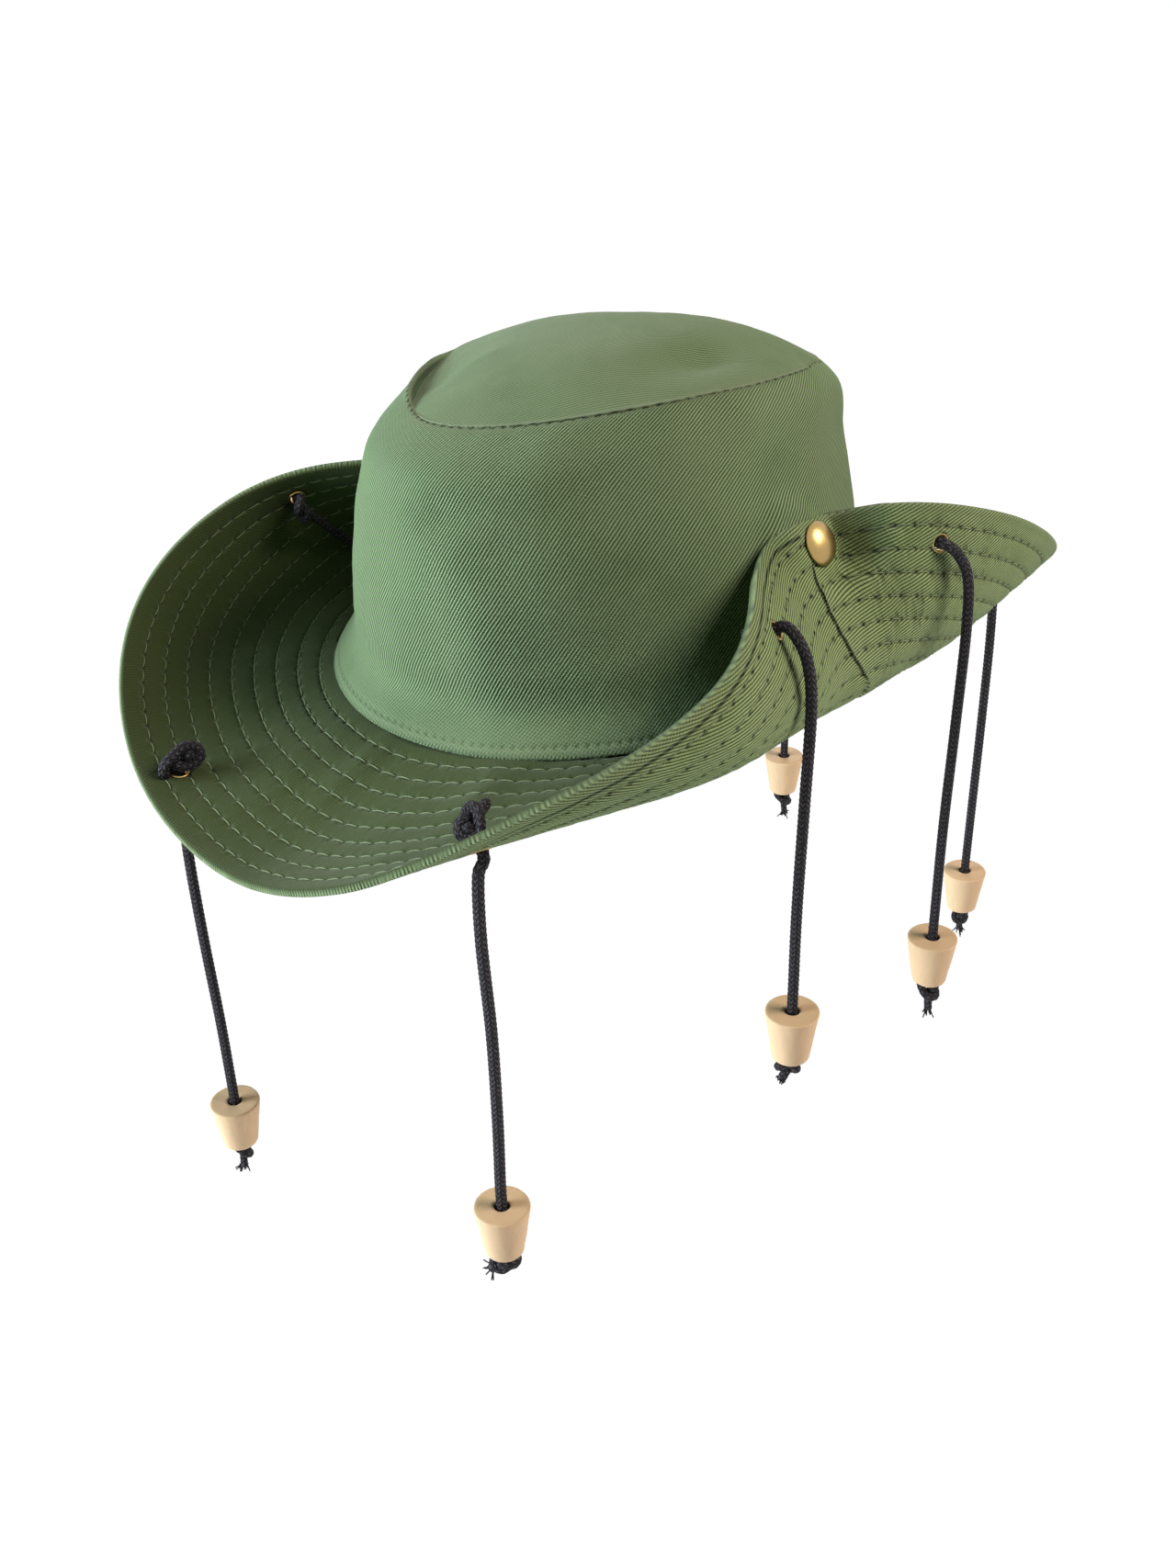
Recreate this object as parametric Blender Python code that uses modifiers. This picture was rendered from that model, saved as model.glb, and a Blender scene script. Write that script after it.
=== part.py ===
"""Cork hat: a cotton twill hat, its brim snapped up at both sides, with corks on cords round the brim.

Metres, +Z up. The front of the hat looks along -Y. The origin is the middle of the head opening,
in the plane where the crown is sewn to the brim, so the cords hang below it.
Angles go round the hat in degrees: 0 is the side on the right when the hat is seen from the front,
90 the back, -90 the front. Right and left in names are seen from the front too.
"""

import math

import bmesh
import bpy
import numpy as np
from mathutils import Matrix, Vector

# Head opening, where the crown meets the brim.
HEAD_HALF_WIDTH = 0.0896
HEAD_HALF_LENGTH = 0.0985
SIDE_LIFT = 0.0036
BACK_DROP = 0.0034

# Brim cloth.
BRIM_WIDTH = 0.0704
BRIM_THICKNESS = 0.0026
BRIM_MARGIN = 0.0025
BRIM_FAN = 0.0136
FAN_POWER = 1.3
BEND_SOFTNESS = 0.14
PROFILE_STEPS = 40

# Round each press stud both cloths lie flat across the stud, and blend into their own shape further out.
SEAT_FLAT = 0.0098
SEAT_BLEND = 0.0185
SEAT_WALL_DEPTH = 0.0046

# Crown cloth.
CROWN_THICKNESS = 0.0016
CROWN_TOP = 0.0949
CROWN_TOP_FRONT_RISE = 0.0034
CROWN_TOP_SIDE_RISE = 0.0039
TIP_POWER = 1.83
TIP_LEAN = 0.0018
TIP_TURN = -1.6
TIP_INSET = 0.0019
TIP_DOME = 0.0140
TIP_DOME_POWER = 2.5

# Small gap kept between pieces that touch.
GAP = 0.0003
WALL_SEAT = 0.0015

# Corks, cords and eyelets.
CORD_DIAMETER = 0.0035
CORD_STEP = 0.0105
CORD_BEND_STEP = 0.0048
CORD_BEND_LENGTH = 0.0200
CORD_LEAD = 0.0012
CORK_TOP_RADIUS = 0.0087
CORK_FOOT_RADIUS = 0.0060
CORK_LENGTH = 0.0185
CORK_BORE_RADIUS = 0.0022
EYELET_REACH = 0.824
EYELET_BORE_RADIUS = 0.00235
EYELET_BARREL_RADIUS = 0.0027
EYELET_HOLE_RADIUS = 0.0031
EYELET_FLANGE_RADIUS = 0.0037
EYELET_FLANGE = 0.0005
EYELET_SEAT = 0.0008
EYELET_FACET = 5.2
EYELET_FACET_REACH = 0.062

# Press studs: a domed cap outside, a socket between brim and crown, a plate inside.
SNAP_ANGLE = 4.0
SNAP_REACH = 0.87
SNAP_PULL = 0.0008
SNAP_RISE = 25.0
SNAP_TURN = 6.0
SNAP_CAP_RADIUS = 0.0070
SNAP_POST_RADIUS = 0.0016
SNAP_HOLE_RADIUS = 0.0022
SNAP_FACET = 4.4
SNAP_PROFILE = (
    # radius, height above the middle of the brim cloth
    (0.0000, 0.0050),
    (0.0032, 0.0047),
    (0.0058, 0.0038),
    (SNAP_CAP_RADIUS, 0.0026),
    (SNAP_POST_RADIUS, 0.0019),
    (SNAP_POST_RADIUS, -0.0017),
    (0.0034, -0.0017),
    (0.0034, -0.0040),
    (SNAP_POST_RADIUS, -0.0042),
    (SNAP_POST_RADIUS, -0.0071),
    (0.0042, -0.0071),
    (0.0042, -0.0078),
    (0.0000, -0.0078),
)

# Faces round each piece.
WALL_SIDES = 48
BRIM_SIDE_SPACING = 4.4
BRIM_END_SPACING = 9.4
ROUND_SIDES = 12
STUD_SIDES = 10
KNOT_SIDES = 8

# Brim sections from the front to the back, the same on both sides of the hat.
BRIM_COLUMNS = ("angle", "start_tilt", "edge_tilt", "bend_at")
BRIM_SECTIONS = (
    (-90, -21.0, 2.0, 0.72),
    (-68, -12.0, 10.5, 0.71),
    (-46, 6.0, 59.0, 0.81),
    (-28, 11.0, 104.5, 0.67),
    (-12, 13.0, 142.0, 0.37),
    (0, 11.5, 131.0, 0.13),
    (5, 11.5, 128.0, 0.13),
    (13, 10.0, 104.0, 0.13),
    (28, 1.0, 77.0, 0.24),
    (46, -6.0, 41.0, 0.35),
    (68, -10.0, 9.6, 0.43),
    (90, -9.7, 7.6, 0.45),
)

# Crown sections from the brim up to the ridge seam of the tip.
CROWN_COLUMNS = ("level", "half_width", "half_length", "back_shift")
CROWN_SECTIONS = (
    (0.00, 0.0896, 0.0985, 0.0000),
    (0.10, 0.0848, 0.0907, 0.0002),
    (0.25, 0.0809, 0.0915, 0.0005),
    (0.50, 0.0744, 0.0930, 0.0010),
    (0.75, 0.0640, 0.0934, 0.0023),
    (0.90, 0.0580, 0.0910, 0.0048),
    (1.00, 0.0533, 0.0785, 0.0064),
)
WALL_LEVELS = (0.0, 0.07, 0.17, 0.31, 0.44, 0.54, 0.66, 0.80, 0.91, 1.0)
TIP_RATIOS = (1.0, 0.84, 0.62, 0.36)
BRIM_REACHES = (0.0, 0.14, 0.28, 0.42, 0.54, 0.66, EYELET_REACH - EYELET_FACET_REACH,
                EYELET_REACH + EYELET_FACET_REACH, 1.0)

# Soft dents and folds of the crown wall, the tip and the brim: depth is positive inwards or downwards.
DENT_COLUMNS = ("angle", "place", "angle_spread", "place_spread", "depth")
WALL_DENTS = (
    (-92, 0.62, 14, 0.22, 0.0022),
    (-62, 0.30, 12, 0.35, -0.0010),
    (6, 0.70, 16, 0.18, 0.0016),
    (30, 0.55, 10, 0.30, 0.0020),
    (100, 0.60, 18, 0.25, 0.0018),
    (172, 0.62, 16, 0.22, 0.0020),
    (-140, 0.55, 14, 0.25, 0.0018),
)
TIP_DENTS = (
    (-4, 0.70, 26, 0.20, 0.0030),
    (-122, 0.88, 24, 0.16, 0.0024),
    (120, 0.60, 40, 0.25, 0.0014),
)
BRIM_FOLDS = (
    (-100, 0.45, 7, 0.55, -0.0012),
    (-82, 0.55, 9, 0.45, 0.0014),
    (-62, 0.35, 6, 0.50, -0.0012),
    (-125, 0.50, 8, 0.50, -0.0010),
    (78, 0.60, 10, 0.50, 0.0012),
    (104, 0.60, 9, 0.50, -0.0012),
)

# Cords, one row each: where the eyelet is and the drop from it to the top of the cork.
CORD_COLUMNS = ("number", "angle", "cork_drop")
CORDS = (
    (1, -108.7, 0.131),
    (2, -54.3, 0.125),
    (3, -15.8, 0.126),
    (4, 17.8, 0.145),
    (5, 61.9, 0.131),
    (6, 107.1, 0.112),
    (7, -159.6, 0.128),
    (8, 162.2, 0.130),
)

# Route of each cord below its eyelet, in millimetres from the middle of the eyelet: how far down,
# out from the hat and round the hat. The last row holds to the end, so the cork hangs plumb.
ROUTES = {
    1: ((8, 0.6, 0.1), (30, 1.6, 0.7), (62, 1.4, 0.9), (95, 0.6, 0.4), (122, 0.4, 0.0)),
    2: ((8, 3.6, -0.2), (28, 4.6, -0.4), (60, 4.0, 0.6), (92, 3.6, 0.5), (116, 3.6, 0.0)),
    3: ((0, 7.6, 3.2), (7, 11.4, 4.4), (20, 13.4, 4.6), (50, 13.2, 4.0), (88, 12.4, 3.6), (117, 12.4, 3.6)),
    4: (
        (3.4, 6.8, 0.8), (11, 10.4, 1.2), (28, 11.4, 1.4), (60, 11.0, 1.2), (100, 10.4, 0.6), (136, 10.4, 0.6)
    ),
    5: ((8, 2.2, 0.0), (30, 3.2, 0.6), (66, 3.0, 0.2), (98, 2.6, -0.2), (122, 2.6, 0.0)),
    6: ((8, 0.9, 0.0), (26, 1.6, -0.5), (56, 1.4, -0.6), (84, 1.0, 0.0), (103, 1.0, 0.0)),
    7: (
        (1.5, 7.2, -1.2), (9, 11.4, -1.7), (24, 12.8, -1.8), (58, 12.4, -1.4), (94, 12.0, -1.2),
        (119, 12.0, -1.2)
    ),
    8: (
        (3.4, 6.8, -0.8), (11, 10.2, -1.1), (28, 11.2, -1.2), (62, 10.8, -0.8), (98, 10.4, -0.6),
        (121, 10.4, -0.6)
    ),
}

# Knots on top of the brim: radius across, length along the tail, tail radius and length, and the way
# the tail points (out from the hat, round the hat, up from the cloth).
KNOT_COLUMNS = ("number", "radius", "half_length", "tail_radius", "tail_length", "out", "side", "up")
KNOTS = (
    (1, 0.0046, 0.0074, 0.0030, 0.0040, -0.80, 0.30, 0.40),
    (2, 0.0048, 0.0052, 0.0028, 0.0070, -1.00, 0.60, 0.80),
    (3, 0.0044, 0.0048, 0.0020, 0.0050, -0.80, -0.30, 0.20),
    (4, 0.0044, 0.0048, 0.0020, 0.0050, -0.80, 0.30, 0.20),
    (5, 0.0046, 0.0054, 0.0024, 0.0070, -0.60, -0.40, 0.60),
    (6, 0.0046, 0.0054, 0.0024, 0.0080, -0.50, 0.60, 0.40),
    (7, 0.0044, 0.0050, 0.0019, 0.0250, -0.60, -1.20, 0.80),
    (8, 0.0044, 0.0048, 0.0020, 0.0050, -0.80, -0.30, 0.20),
)

# Knots under the corks: radius, tail length and the way the tail leans.
STOP_KNOT_COLUMNS = ("number", "radius", "tail_length", "out", "side")
STOP_KNOTS = (
    (1, 0.0036, 0.0050, 0.10, 0.15),
    (2, 0.0040, 0.0060, -0.35, -0.75),
    (3, 0.0042, 0.0030, -0.20, -0.40),
    (4, 0.0040, 0.0060, 0.10, -0.05),
    (5, 0.0036, 0.0055, 0.05, 0.05),
    (6, 0.0038, 0.0060, 0.10, -0.10),
    (7, 0.0038, 0.0050, -0.15, 0.10),
    (8, 0.0038, 0.0050, 0.10, -0.15),
)
STOP_TAIL_RADIUS = 0.0018

# Colour, roughness and metallic value of each finish.
FINISHES = {
    "crown_twill": ((0.105, 0.205, 0.085, 1.0), 0.85, 0.0),
    "brim_twill": ((0.090, 0.165, 0.060, 1.0), 0.85, 0.0),
    "black_cord": ((0.010, 0.010, 0.012, 1.0), 0.70, 0.0),
    "cork_wood": ((0.620, 0.430, 0.250, 1.0), 0.65, 0.0),
    "brass": ((0.560, 0.400, 0.160, 1.0), 0.30, 1.0),
}


def row_of(columns, rows, number):
    """The row of a table whose first column is number, as a dictionary by column name."""
    for row in rows:
        if row[0] == number:
            return dict(zip(columns, row))
    raise KeyError(number)


def read_table(columns, rows, column, at, flat_ends):
    """A smooth curve through one column of a table, against its first column."""
    xs = np.array([row[0] for row in rows], dtype=float)
    ys = np.array([row[columns.index(column)] for row in rows], dtype=float)
    widths = np.diff(xs)
    rises = np.diff(ys) / widths
    slopes = np.zeros(len(xs))
    slopes[1:-1] = (rises[:-1] * widths[1:] + rises[1:] * widths[:-1]) / (widths[1:] + widths[:-1])
    if not flat_ends:
        slopes[0] = rises[0]
        slopes[-1] = rises[-1]
    i = int(np.clip(np.searchsorted(xs, at, side="right") - 1, 0, len(xs) - 2))
    t = (at - xs[i]) / widths[i]
    value = ys[i] * (1 + 2 * t) * (1 - t) ** 2 + slopes[i] * widths[i] * t * (1 - t) ** 2
    value += ys[i + 1] * t * t * (3 - 2 * t) + slopes[i + 1] * widths[i] * t * t * (t - 1)
    return float(value)


def wrap(angle):
    """An angle between -180 and 180 degrees."""
    return (angle + 180.0) % 360.0 - 180.0


def right_side_angle(angle):
    """The angle of the same place on the right side of the hat, from -90 to 90."""
    angle = wrap(angle)
    if angle > 90.0:
        return 180.0 - angle
    if angle < -90.0:
        return -180.0 - angle
    return angle


def dent_depth(dents, angle, place):
    """Depth of the soft dents of a table at one place of a surface."""
    depth = 0.0
    for row in dents:
        dent = dict(zip(DENT_COLUMNS, row))
        across = wrap(angle - dent["angle"]) / dent["angle_spread"]
        along = (place - dent["place"]) / dent["place_spread"]
        depth += dent["depth"] * math.exp(-across * across - along * along)
    return depth


def base_height(angle):
    """Height of the head opening's rim, lifted at the sides and lower at the back."""
    a = math.radians(angle)
    return SIDE_LIFT * math.cos(2.0 * a) - BACK_DROP * math.sin(a)


def head_rim(angle):
    """Point of the head opening's rim and the level direction out of the hat there."""
    a = math.radians(angle)
    point = Vector((HEAD_HALF_WIDTH * math.cos(a), HEAD_HALF_LENGTH * math.sin(a), base_height(angle)))
    out = Vector((math.cos(a) / HEAD_HALF_WIDTH, math.sin(a) / HEAD_HALF_LENGTH, 0.0)).normalized()
    return point, out


def brim_tilt(angle, reach):
    """Tilt of the brim cloth above level, in degrees, at a share of its width."""
    side = right_side_angle(angle)
    start = read_table(BRIM_COLUMNS, BRIM_SECTIONS, "start_tilt", side, True)
    edge = read_table(BRIM_COLUMNS, BRIM_SECTIONS, "edge_tilt", side, True)
    bend_at = read_table(BRIM_COLUMNS, BRIM_SECTIONS, "bend_at", side, True)
    curve = [1.0 / (1.0 + math.exp(-(s - bend_at) / BEND_SOFTNESS)) for s in (0.0, reach, 1.0)]
    return start + (edge - start) * (curve[1] - curve[0]) / (curve[2] - curve[0])


def brim_curve(angle, reach):
    """Middle of the brim cloth before the press studs are closed."""
    rim, out = head_rim(angle)
    around = Vector((-out.y, out.x, 0.0))
    if reach <= 0.0:
        return rim + out * (reach * BRIM_WIDTH)
    steps = max(1, round(reach * PROFILE_STEPS))
    length = reach * BRIM_WIDTH / steps
    level = 0.0
    rise = 0.0
    for step in range(steps):
        tilt = math.radians(brim_tilt(angle, reach * (step + 0.5) / steps))
        level += length * math.cos(tilt)
        rise += length * math.sin(tilt)
    rise -= dent_depth(BRIM_FOLDS, angle, reach)
    fan = BRIM_FAN * math.sin(2.0 * math.radians(angle)) * reach ** FAN_POWER
    return rim + out * level + around * fan + Vector((0.0, 0.0, rise))


def snap_frame(side):
    """Middle of the snapped brim cloth and the way its stud points; side is 1 right, -1 left."""
    rise = math.radians(SNAP_RISE)
    turn = math.radians(SNAP_TURN)
    way = Vector((side * math.cos(rise) * math.cos(turn), math.cos(rise) * math.sin(turn), math.sin(rise)))
    middle = brim_curve(SNAP_ANGLE if side > 0 else 180.0 - SNAP_ANGLE, SNAP_REACH)
    middle.x -= side * SNAP_PULL
    return middle, way


def seated(point, depth):
    """A cloth point drawn towards the flat seat of the nearer press stud, at a depth below its middle."""
    middle, way = snap_frame(1 if point.x > 0.0 else -1)
    off = point - middle
    height = off.dot(way) + depth
    distance = (off - way * off.dot(way)).length
    share = min(max((SEAT_BLEND - distance) / (SEAT_BLEND - SEAT_FLAT), 0.0), 1.0)
    return point - way * (height * share * share * (3.0 - 2.0 * share))


def brim_point(angle, reach):
    """Middle of the brim cloth at an angle and a share of the brim's width."""
    if abs(right_side_angle(angle) - SNAP_ANGLE) > 20.0 or reach < 0.45:
        return brim_curve(angle, reach)
    return seated(brim_curve(angle, reach), 0.0)


def brim_frame(angle, reach):
    """Middle of the flat of the brim round an eyelet, the level way out, the way round and its normal."""
    low, high = reach - EYELET_FACET_REACH, reach + EYELET_FACET_REACH
    back = (brim_point(angle + EYELET_FACET / 2.0, low), brim_point(angle + EYELET_FACET / 2.0, high))
    front = (brim_point(angle - EYELET_FACET / 2.0, low), brim_point(angle - EYELET_FACET / 2.0, high))
    middle = (back[0] + back[1] + front[0] + front[1]) / 4.0
    along = back[1] + front[1] - back[0] - front[0]
    across = back[0] + back[1] - front[0] - front[1]
    normal = along.cross(across).normalized()
    _, out = head_rim(angle)
    return middle, out, Vector((-out.y, out.x, 0.0)), normal


def crown_outline(angle, level):
    """Level outline of the crown, from an oval at the brim to a squarer or rounder one at the tip."""
    a = math.radians(angle)
    power = 2.0 + (TIP_POWER - 2.0) * level
    reach = (abs(math.cos(a)) ** power + abs(math.sin(a)) ** power) ** (-1.0 / power)
    width = read_table(CROWN_COLUMNS, CROWN_SECTIONS, "half_width", level, False)
    length = read_table(CROWN_COLUMNS, CROWN_SECTIONS, "half_length", level, False)
    shift = read_table(CROWN_COLUMNS, CROWN_SECTIONS, "back_shift", level, False)
    return width * reach * math.cos(a), length * reach * math.sin(a), shift


def crown_wall_point(angle, level):
    """Outer face of the crown wall at an angle and a level from 0 at the brim to 1 at the tip."""
    x, y, shift = crown_outline(angle, level)
    dent = dent_depth(WALL_DENTS, angle, level)
    radius = math.hypot(x, y)
    x -= dent * x / radius
    y -= dent * y / radius
    turn = math.radians(TIP_TURN) * level
    bottom = base_height(angle) + BRIM_THICKNESS / 2.0 + WALL_SEAT
    top = tip_seam_height(angle)
    point = Vector((
        x * math.cos(turn) - y * math.sin(turn) + TIP_LEAN * level * level,
        x * math.sin(turn) + y * math.cos(turn) + shift,
        bottom * (1.0 - level) + top * level,
    ))
    if abs(right_side_angle(angle)) > 20.0 or not 0.2 < level < 0.9:
        return point
    return seated(point, SEAT_WALL_DEPTH)


def tip_seam_height(angle):
    """Height of the ridge seam round the tip."""
    a = math.radians(angle)
    return CROWN_TOP - CROWN_TOP_FRONT_RISE * math.sin(a) + CROWN_TOP_SIDE_RISE * math.cos(2.0 * a)


def tip_point(angle, ratio):
    """Outer face of the tip at an angle and a share of the way out to its seam."""
    seam = crown_wall_point(angle, 1.0)
    _, _, shift = crown_outline(angle, 1.0)
    middle = Vector((TIP_LEAN, shift, 0.0))
    out = seam - middle
    out.z = 0.0
    share = ratio * (1.0 - TIP_INSET / out.length)
    height = CROWN_TOP + (tip_seam_height(angle) - CROWN_TOP) * ratio * ratio
    height += TIP_DOME * (1.0 - ratio ** TIP_DOME_POWER)
    height -= dent_depth(TIP_DENTS, angle, ratio)
    return Vector((middle.x + out.x * share, middle.y + out.y * share, height))


def remove_scene_objects():
    for thing in list(bpy.data.objects):
        bpy.data.objects.remove(thing, do_unlink=True)


def make_collection(name):
    collection = bpy.data.collections.new(name)
    bpy.context.scene.collection.children.link(collection)
    return collection


def make_material(name):
    colour, roughness, metallic = FINISHES[name]
    material = bpy.data.materials.new(name)
    material.use_nodes = True
    shader = material.node_tree.nodes["Principled BSDF"]
    shader.inputs["Base Color"].default_value = colour
    shader.inputs["Roughness"].default_value = roughness
    shader.inputs["Metallic"].default_value = metallic
    return material


def add_object(name, data, collection, material):
    thing = bpy.data.objects.new(name, data)
    collection.objects.link(thing)
    if material is not None:
        data.materials.append(material)
    return thing


def smooth(mesh, sharp_degrees):
    mesh.shade_smooth()
    mesh.set_sharp_from_angle(angle=math.radians(sharp_degrees))


def lofted_ring(name, rings, closed_top):
    """An open surface through rings of points; the last ring may close on its middle point."""
    surface = bmesh.new()
    loops = [[surface.verts.new(point) for point in ring] for ring in rings]
    count = len(loops[0])
    for lower, upper in zip(loops, loops[1:]):
        for i in range(count):
            j = (i + 1) % count
            surface.faces.new((lower[i], lower[j], upper[j], upper[i]))
    if closed_top is not None:
        peak = surface.verts.new(closed_top)
        for i in range(count):
            surface.faces.new((loops[-1][i], loops[-1][(i + 1) % count], peak))
    mesh = bpy.data.meshes.new(name)
    surface.to_mesh(mesh)
    surface.free()
    return mesh


def thicken(thing, thickness, offset):
    shell = thing.modifiers.new("cloth thickness", "SOLIDIFY")
    shell.thickness = thickness
    shell.offset = offset
    shell.use_even_offset = True
    return shell


def cut(thing, cutter):
    hole = thing.modifiers.new("cut " + cutter.name, "BOOLEAN")
    hole.operation = "DIFFERENCE"
    hole.solver = "EXACT"
    hole.object = cutter


def aim(direction):
    """Rotation that turns +Z to a direction."""
    return direction.to_track_quat("Z", "Y").to_matrix().to_4x4()


def turned(name, profile, sides, closed_profile, collection, material):
    """A shape turned round Z from a profile of (radius, height) that runs down its outer side."""
    edges = [(i, i + 1) for i in range(len(profile) - 1)]
    if closed_profile:
        edges.append((len(profile) - 1, 0))
    mesh = bpy.data.meshes.new(name)
    mesh.from_pydata([(radius, 0.0, height) for radius, height in profile], edges, [])
    thing = add_object(name, mesh, collection, material)
    screw = thing.modifiers.new("turn", "SCREW")
    screw.axis = "Z"
    screw.angle = math.tau
    screw.steps = sides
    screw.render_steps = sides
    screw.use_merge_vertices = True
    screw.merge_threshold = 0.00001
    screw.use_smooth_shade = True
    return thing


def cylinder_cutter(name, start, end, radius, collection):
    """A round cutter between two points."""
    shape = bmesh.new()
    bmesh.ops.create_cone(
        shape, cap_ends=True, segments=ROUND_SIDES, radius1=radius, radius2=radius, depth=(end - start).length
    )
    mesh = bpy.data.meshes.new(name)
    shape.to_mesh(mesh)
    shape.free()
    thing = add_object(name, mesh, collection, None)
    thing.matrix_world = Matrix.Translation((start + end) / 2.0) @ aim(end - start)
    thing.hide_render = True
    thing.display_type = "WIRE"
    return thing


def brim_angles():
    """Angles round the brim: a flat at each eyelet and press stud, and more of them at the sides."""
    fixed = []
    for row in CORDS:
        fixed += [row[1] - EYELET_FACET / 2.0, row[1] + EYELET_FACET / 2.0]
    for snap in (SNAP_ANGLE, 180.0 - SNAP_ANGLE):
        fixed += [snap - SNAP_FACET, snap, snap + SNAP_FACET]
    fixed = sorted(wrap(angle) for angle in fixed)
    angles = []
    for start, end in zip(fixed, fixed[1:] + [fixed[0] + 360.0]):
        spacing = BRIM_SIDE_SPACING if abs(right_side_angle((start + end) / 2.0)) < 40.0 else BRIM_END_SPACING
        count = max(1, math.ceil((end - start) / spacing - 0.25))
        angles += [start + (end - start) * i / count for i in range(count)]
    return angles


def build_crown(parts, cutters, cloth):
    angles = [360.0 * i / WALL_SIDES for i in range(WALL_SIDES)]
    rings = [[crown_wall_point(angle, level) for angle in angles] for level in WALL_LEVELS]
    wall = add_object("crown_wall", lofted_ring("crown_wall", rings, None), parts, cloth)
    thicken(wall, CROWN_THICKNESS, -1.0)
    for side, name in ((1, "right"), (-1, "left")):
        middle, way = snap_frame(side)
        hole = cylinder_cutter(
            "wall_hole_" + name, middle - way * 0.0085, middle - way * 0.0025, SNAP_HOLE_RADIUS, cutters
        )
        cut(wall, hole)
    smooth(wall.data, 40)

    rings = [[tip_point(angle, ratio) for angle in angles] for ratio in TIP_RATIOS]
    tip = add_object("crown_tip", lofted_ring("crown_tip", rings, tip_point(0.0, 0.0)), parts, cloth)
    thicken(tip, CROWN_THICKNESS, -1.0)
    smooth(tip.data, 40)


def build_brim(parts, cutters, cloth):
    angles = brim_angles()
    reaches = (-BRIM_MARGIN / BRIM_WIDTH,) + BRIM_REACHES
    # From the edge inwards, so that the surface faces up.
    rings = [[brim_point(angle, reach) for angle in angles] for reach in reversed(reaches)]
    brim = add_object("brim", lofted_ring("brim", rings, None), parts, cloth)
    thicken(brim, BRIM_THICKNESS, 0.0)
    for row in CORDS:
        cord = dict(zip(CORD_COLUMNS, row))
        middle, _, _, normal = brim_frame(cord["angle"], EYELET_REACH)
        reach = normal * (BRIM_THICKNESS * 1.5)
        hole = cylinder_cutter(
            "eyelet_hole_%d" % cord["number"], middle - reach, middle + reach, EYELET_HOLE_RADIUS, cutters
        )
        cut(brim, hole)
    for side, name in ((1, "right"), (-1, "left")):
        middle, way = snap_frame(side)
        reach = way * (BRIM_THICKNESS * 0.9)
        hole = cylinder_cutter(
            "brim_hole_" + name, middle - reach, middle + reach, SNAP_HOLE_RADIUS, cutters
        )
        cut(brim, hole)
    smooth(brim.data, 40)


def build_snaps(parts, brass):
    for side, name in ((1, "right"), (-1, "left")):
        middle, way = snap_frame(side)
        snap = turned("snap_" + name, SNAP_PROFILE, STUD_SIDES, False, parts, brass)
        snap.matrix_world = Matrix.Translation(middle) @ aim(way)


def eyelet_top():
    """Height of an eyelet's flange face above the middle of the brim cloth."""
    return BRIM_THICKNESS / 2.0 + EYELET_SEAT + EYELET_FLANGE


def build_eyelets(parts, brass):
    top = eyelet_top()
    foot = top - EYELET_FLANGE
    profile = (
        (EYELET_BORE_RADIUS, top),
        (EYELET_FLANGE_RADIUS, top),
        (EYELET_FLANGE_RADIUS, foot),
        (EYELET_BARREL_RADIUS, foot),
        (EYELET_BARREL_RADIUS, -foot),
        (EYELET_FLANGE_RADIUS, -foot),
        (EYELET_FLANGE_RADIUS, -top),
        (EYELET_BORE_RADIUS, -top),
    )
    for row in CORDS:
        cord = dict(zip(CORD_COLUMNS, row))
        middle, _, _, normal = brim_frame(cord["angle"], EYELET_REACH)
        eyelet = turned("eyelet_%d" % cord["number"], profile, STUD_SIDES, True, parts, brass)
        eyelet.matrix_world = Matrix.Translation(middle) @ aim(normal)


def smooth_route(points):
    """Points along a smooth curve through the given points, closer together in its first bend."""
    ends = [points[0] * 2.0 - points[1]] + list(points) + [points[-1] * 2.0 - points[-2]]
    fine = []
    for a, b, c, d in zip(ends, ends[1:], ends[2:], ends[3:]):
        for i in range(16):
            t = i / 16.0
            fine.append(
                0.5 * (2.0 * b + (c - a) * t + (2.0 * a - 5.0 * b + 4.0 * c - d) * t * t
                       + (3.0 * b - a - 3.0 * c + d) * t ** 3)
            )
    fine.append(points[-1].copy())
    lengths = [0.0]
    for a, b in zip(fine, fine[1:]):
        lengths.append(lengths[-1] + (b - a).length)
    bends = max(1, round(CORD_BEND_LENGTH / CORD_BEND_STEP))
    runs = max(1, round((lengths[-1] - CORD_BEND_LENGTH) / CORD_STEP))
    targets = [CORD_BEND_LENGTH * i / bends for i in range(bends)]
    targets += [CORD_BEND_LENGTH + (lengths[-1] - CORD_BEND_LENGTH) * i / runs for i in range(runs + 1)]
    route = []
    k = 0
    for target in targets:
        while k < len(fine) - 2 and lengths[k + 1] < target:
            k += 1
        share = (target - lengths[k]) / (lengths[k + 1] - lengths[k])
        route.append(fine[k].lerp(fine[k + 1], share))
    return route


def cord_places(cord):
    """Points of a cord from the end of its eyelet down, and the middle of the cork's top face."""
    middle, out, around, normal = brim_frame(cord["angle"], EYELET_REACH)
    points = [middle - normal * (eyelet_top() + CORD_LEAD)]
    for down, outward, aside in ROUTES[cord["number"]]:
        points.append(middle + 0.001 * (out * outward + around * aside - Vector((0.0, 0.0, down))))
    plumb = points[-1]
    cork_top = Vector((plumb.x, plumb.y, middle.z - cord["cork_drop"]))
    points.append(cork_top.copy())
    points.append(cork_top - Vector((0.0, 0.0, CORK_LENGTH)))
    return points, cork_top


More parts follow.
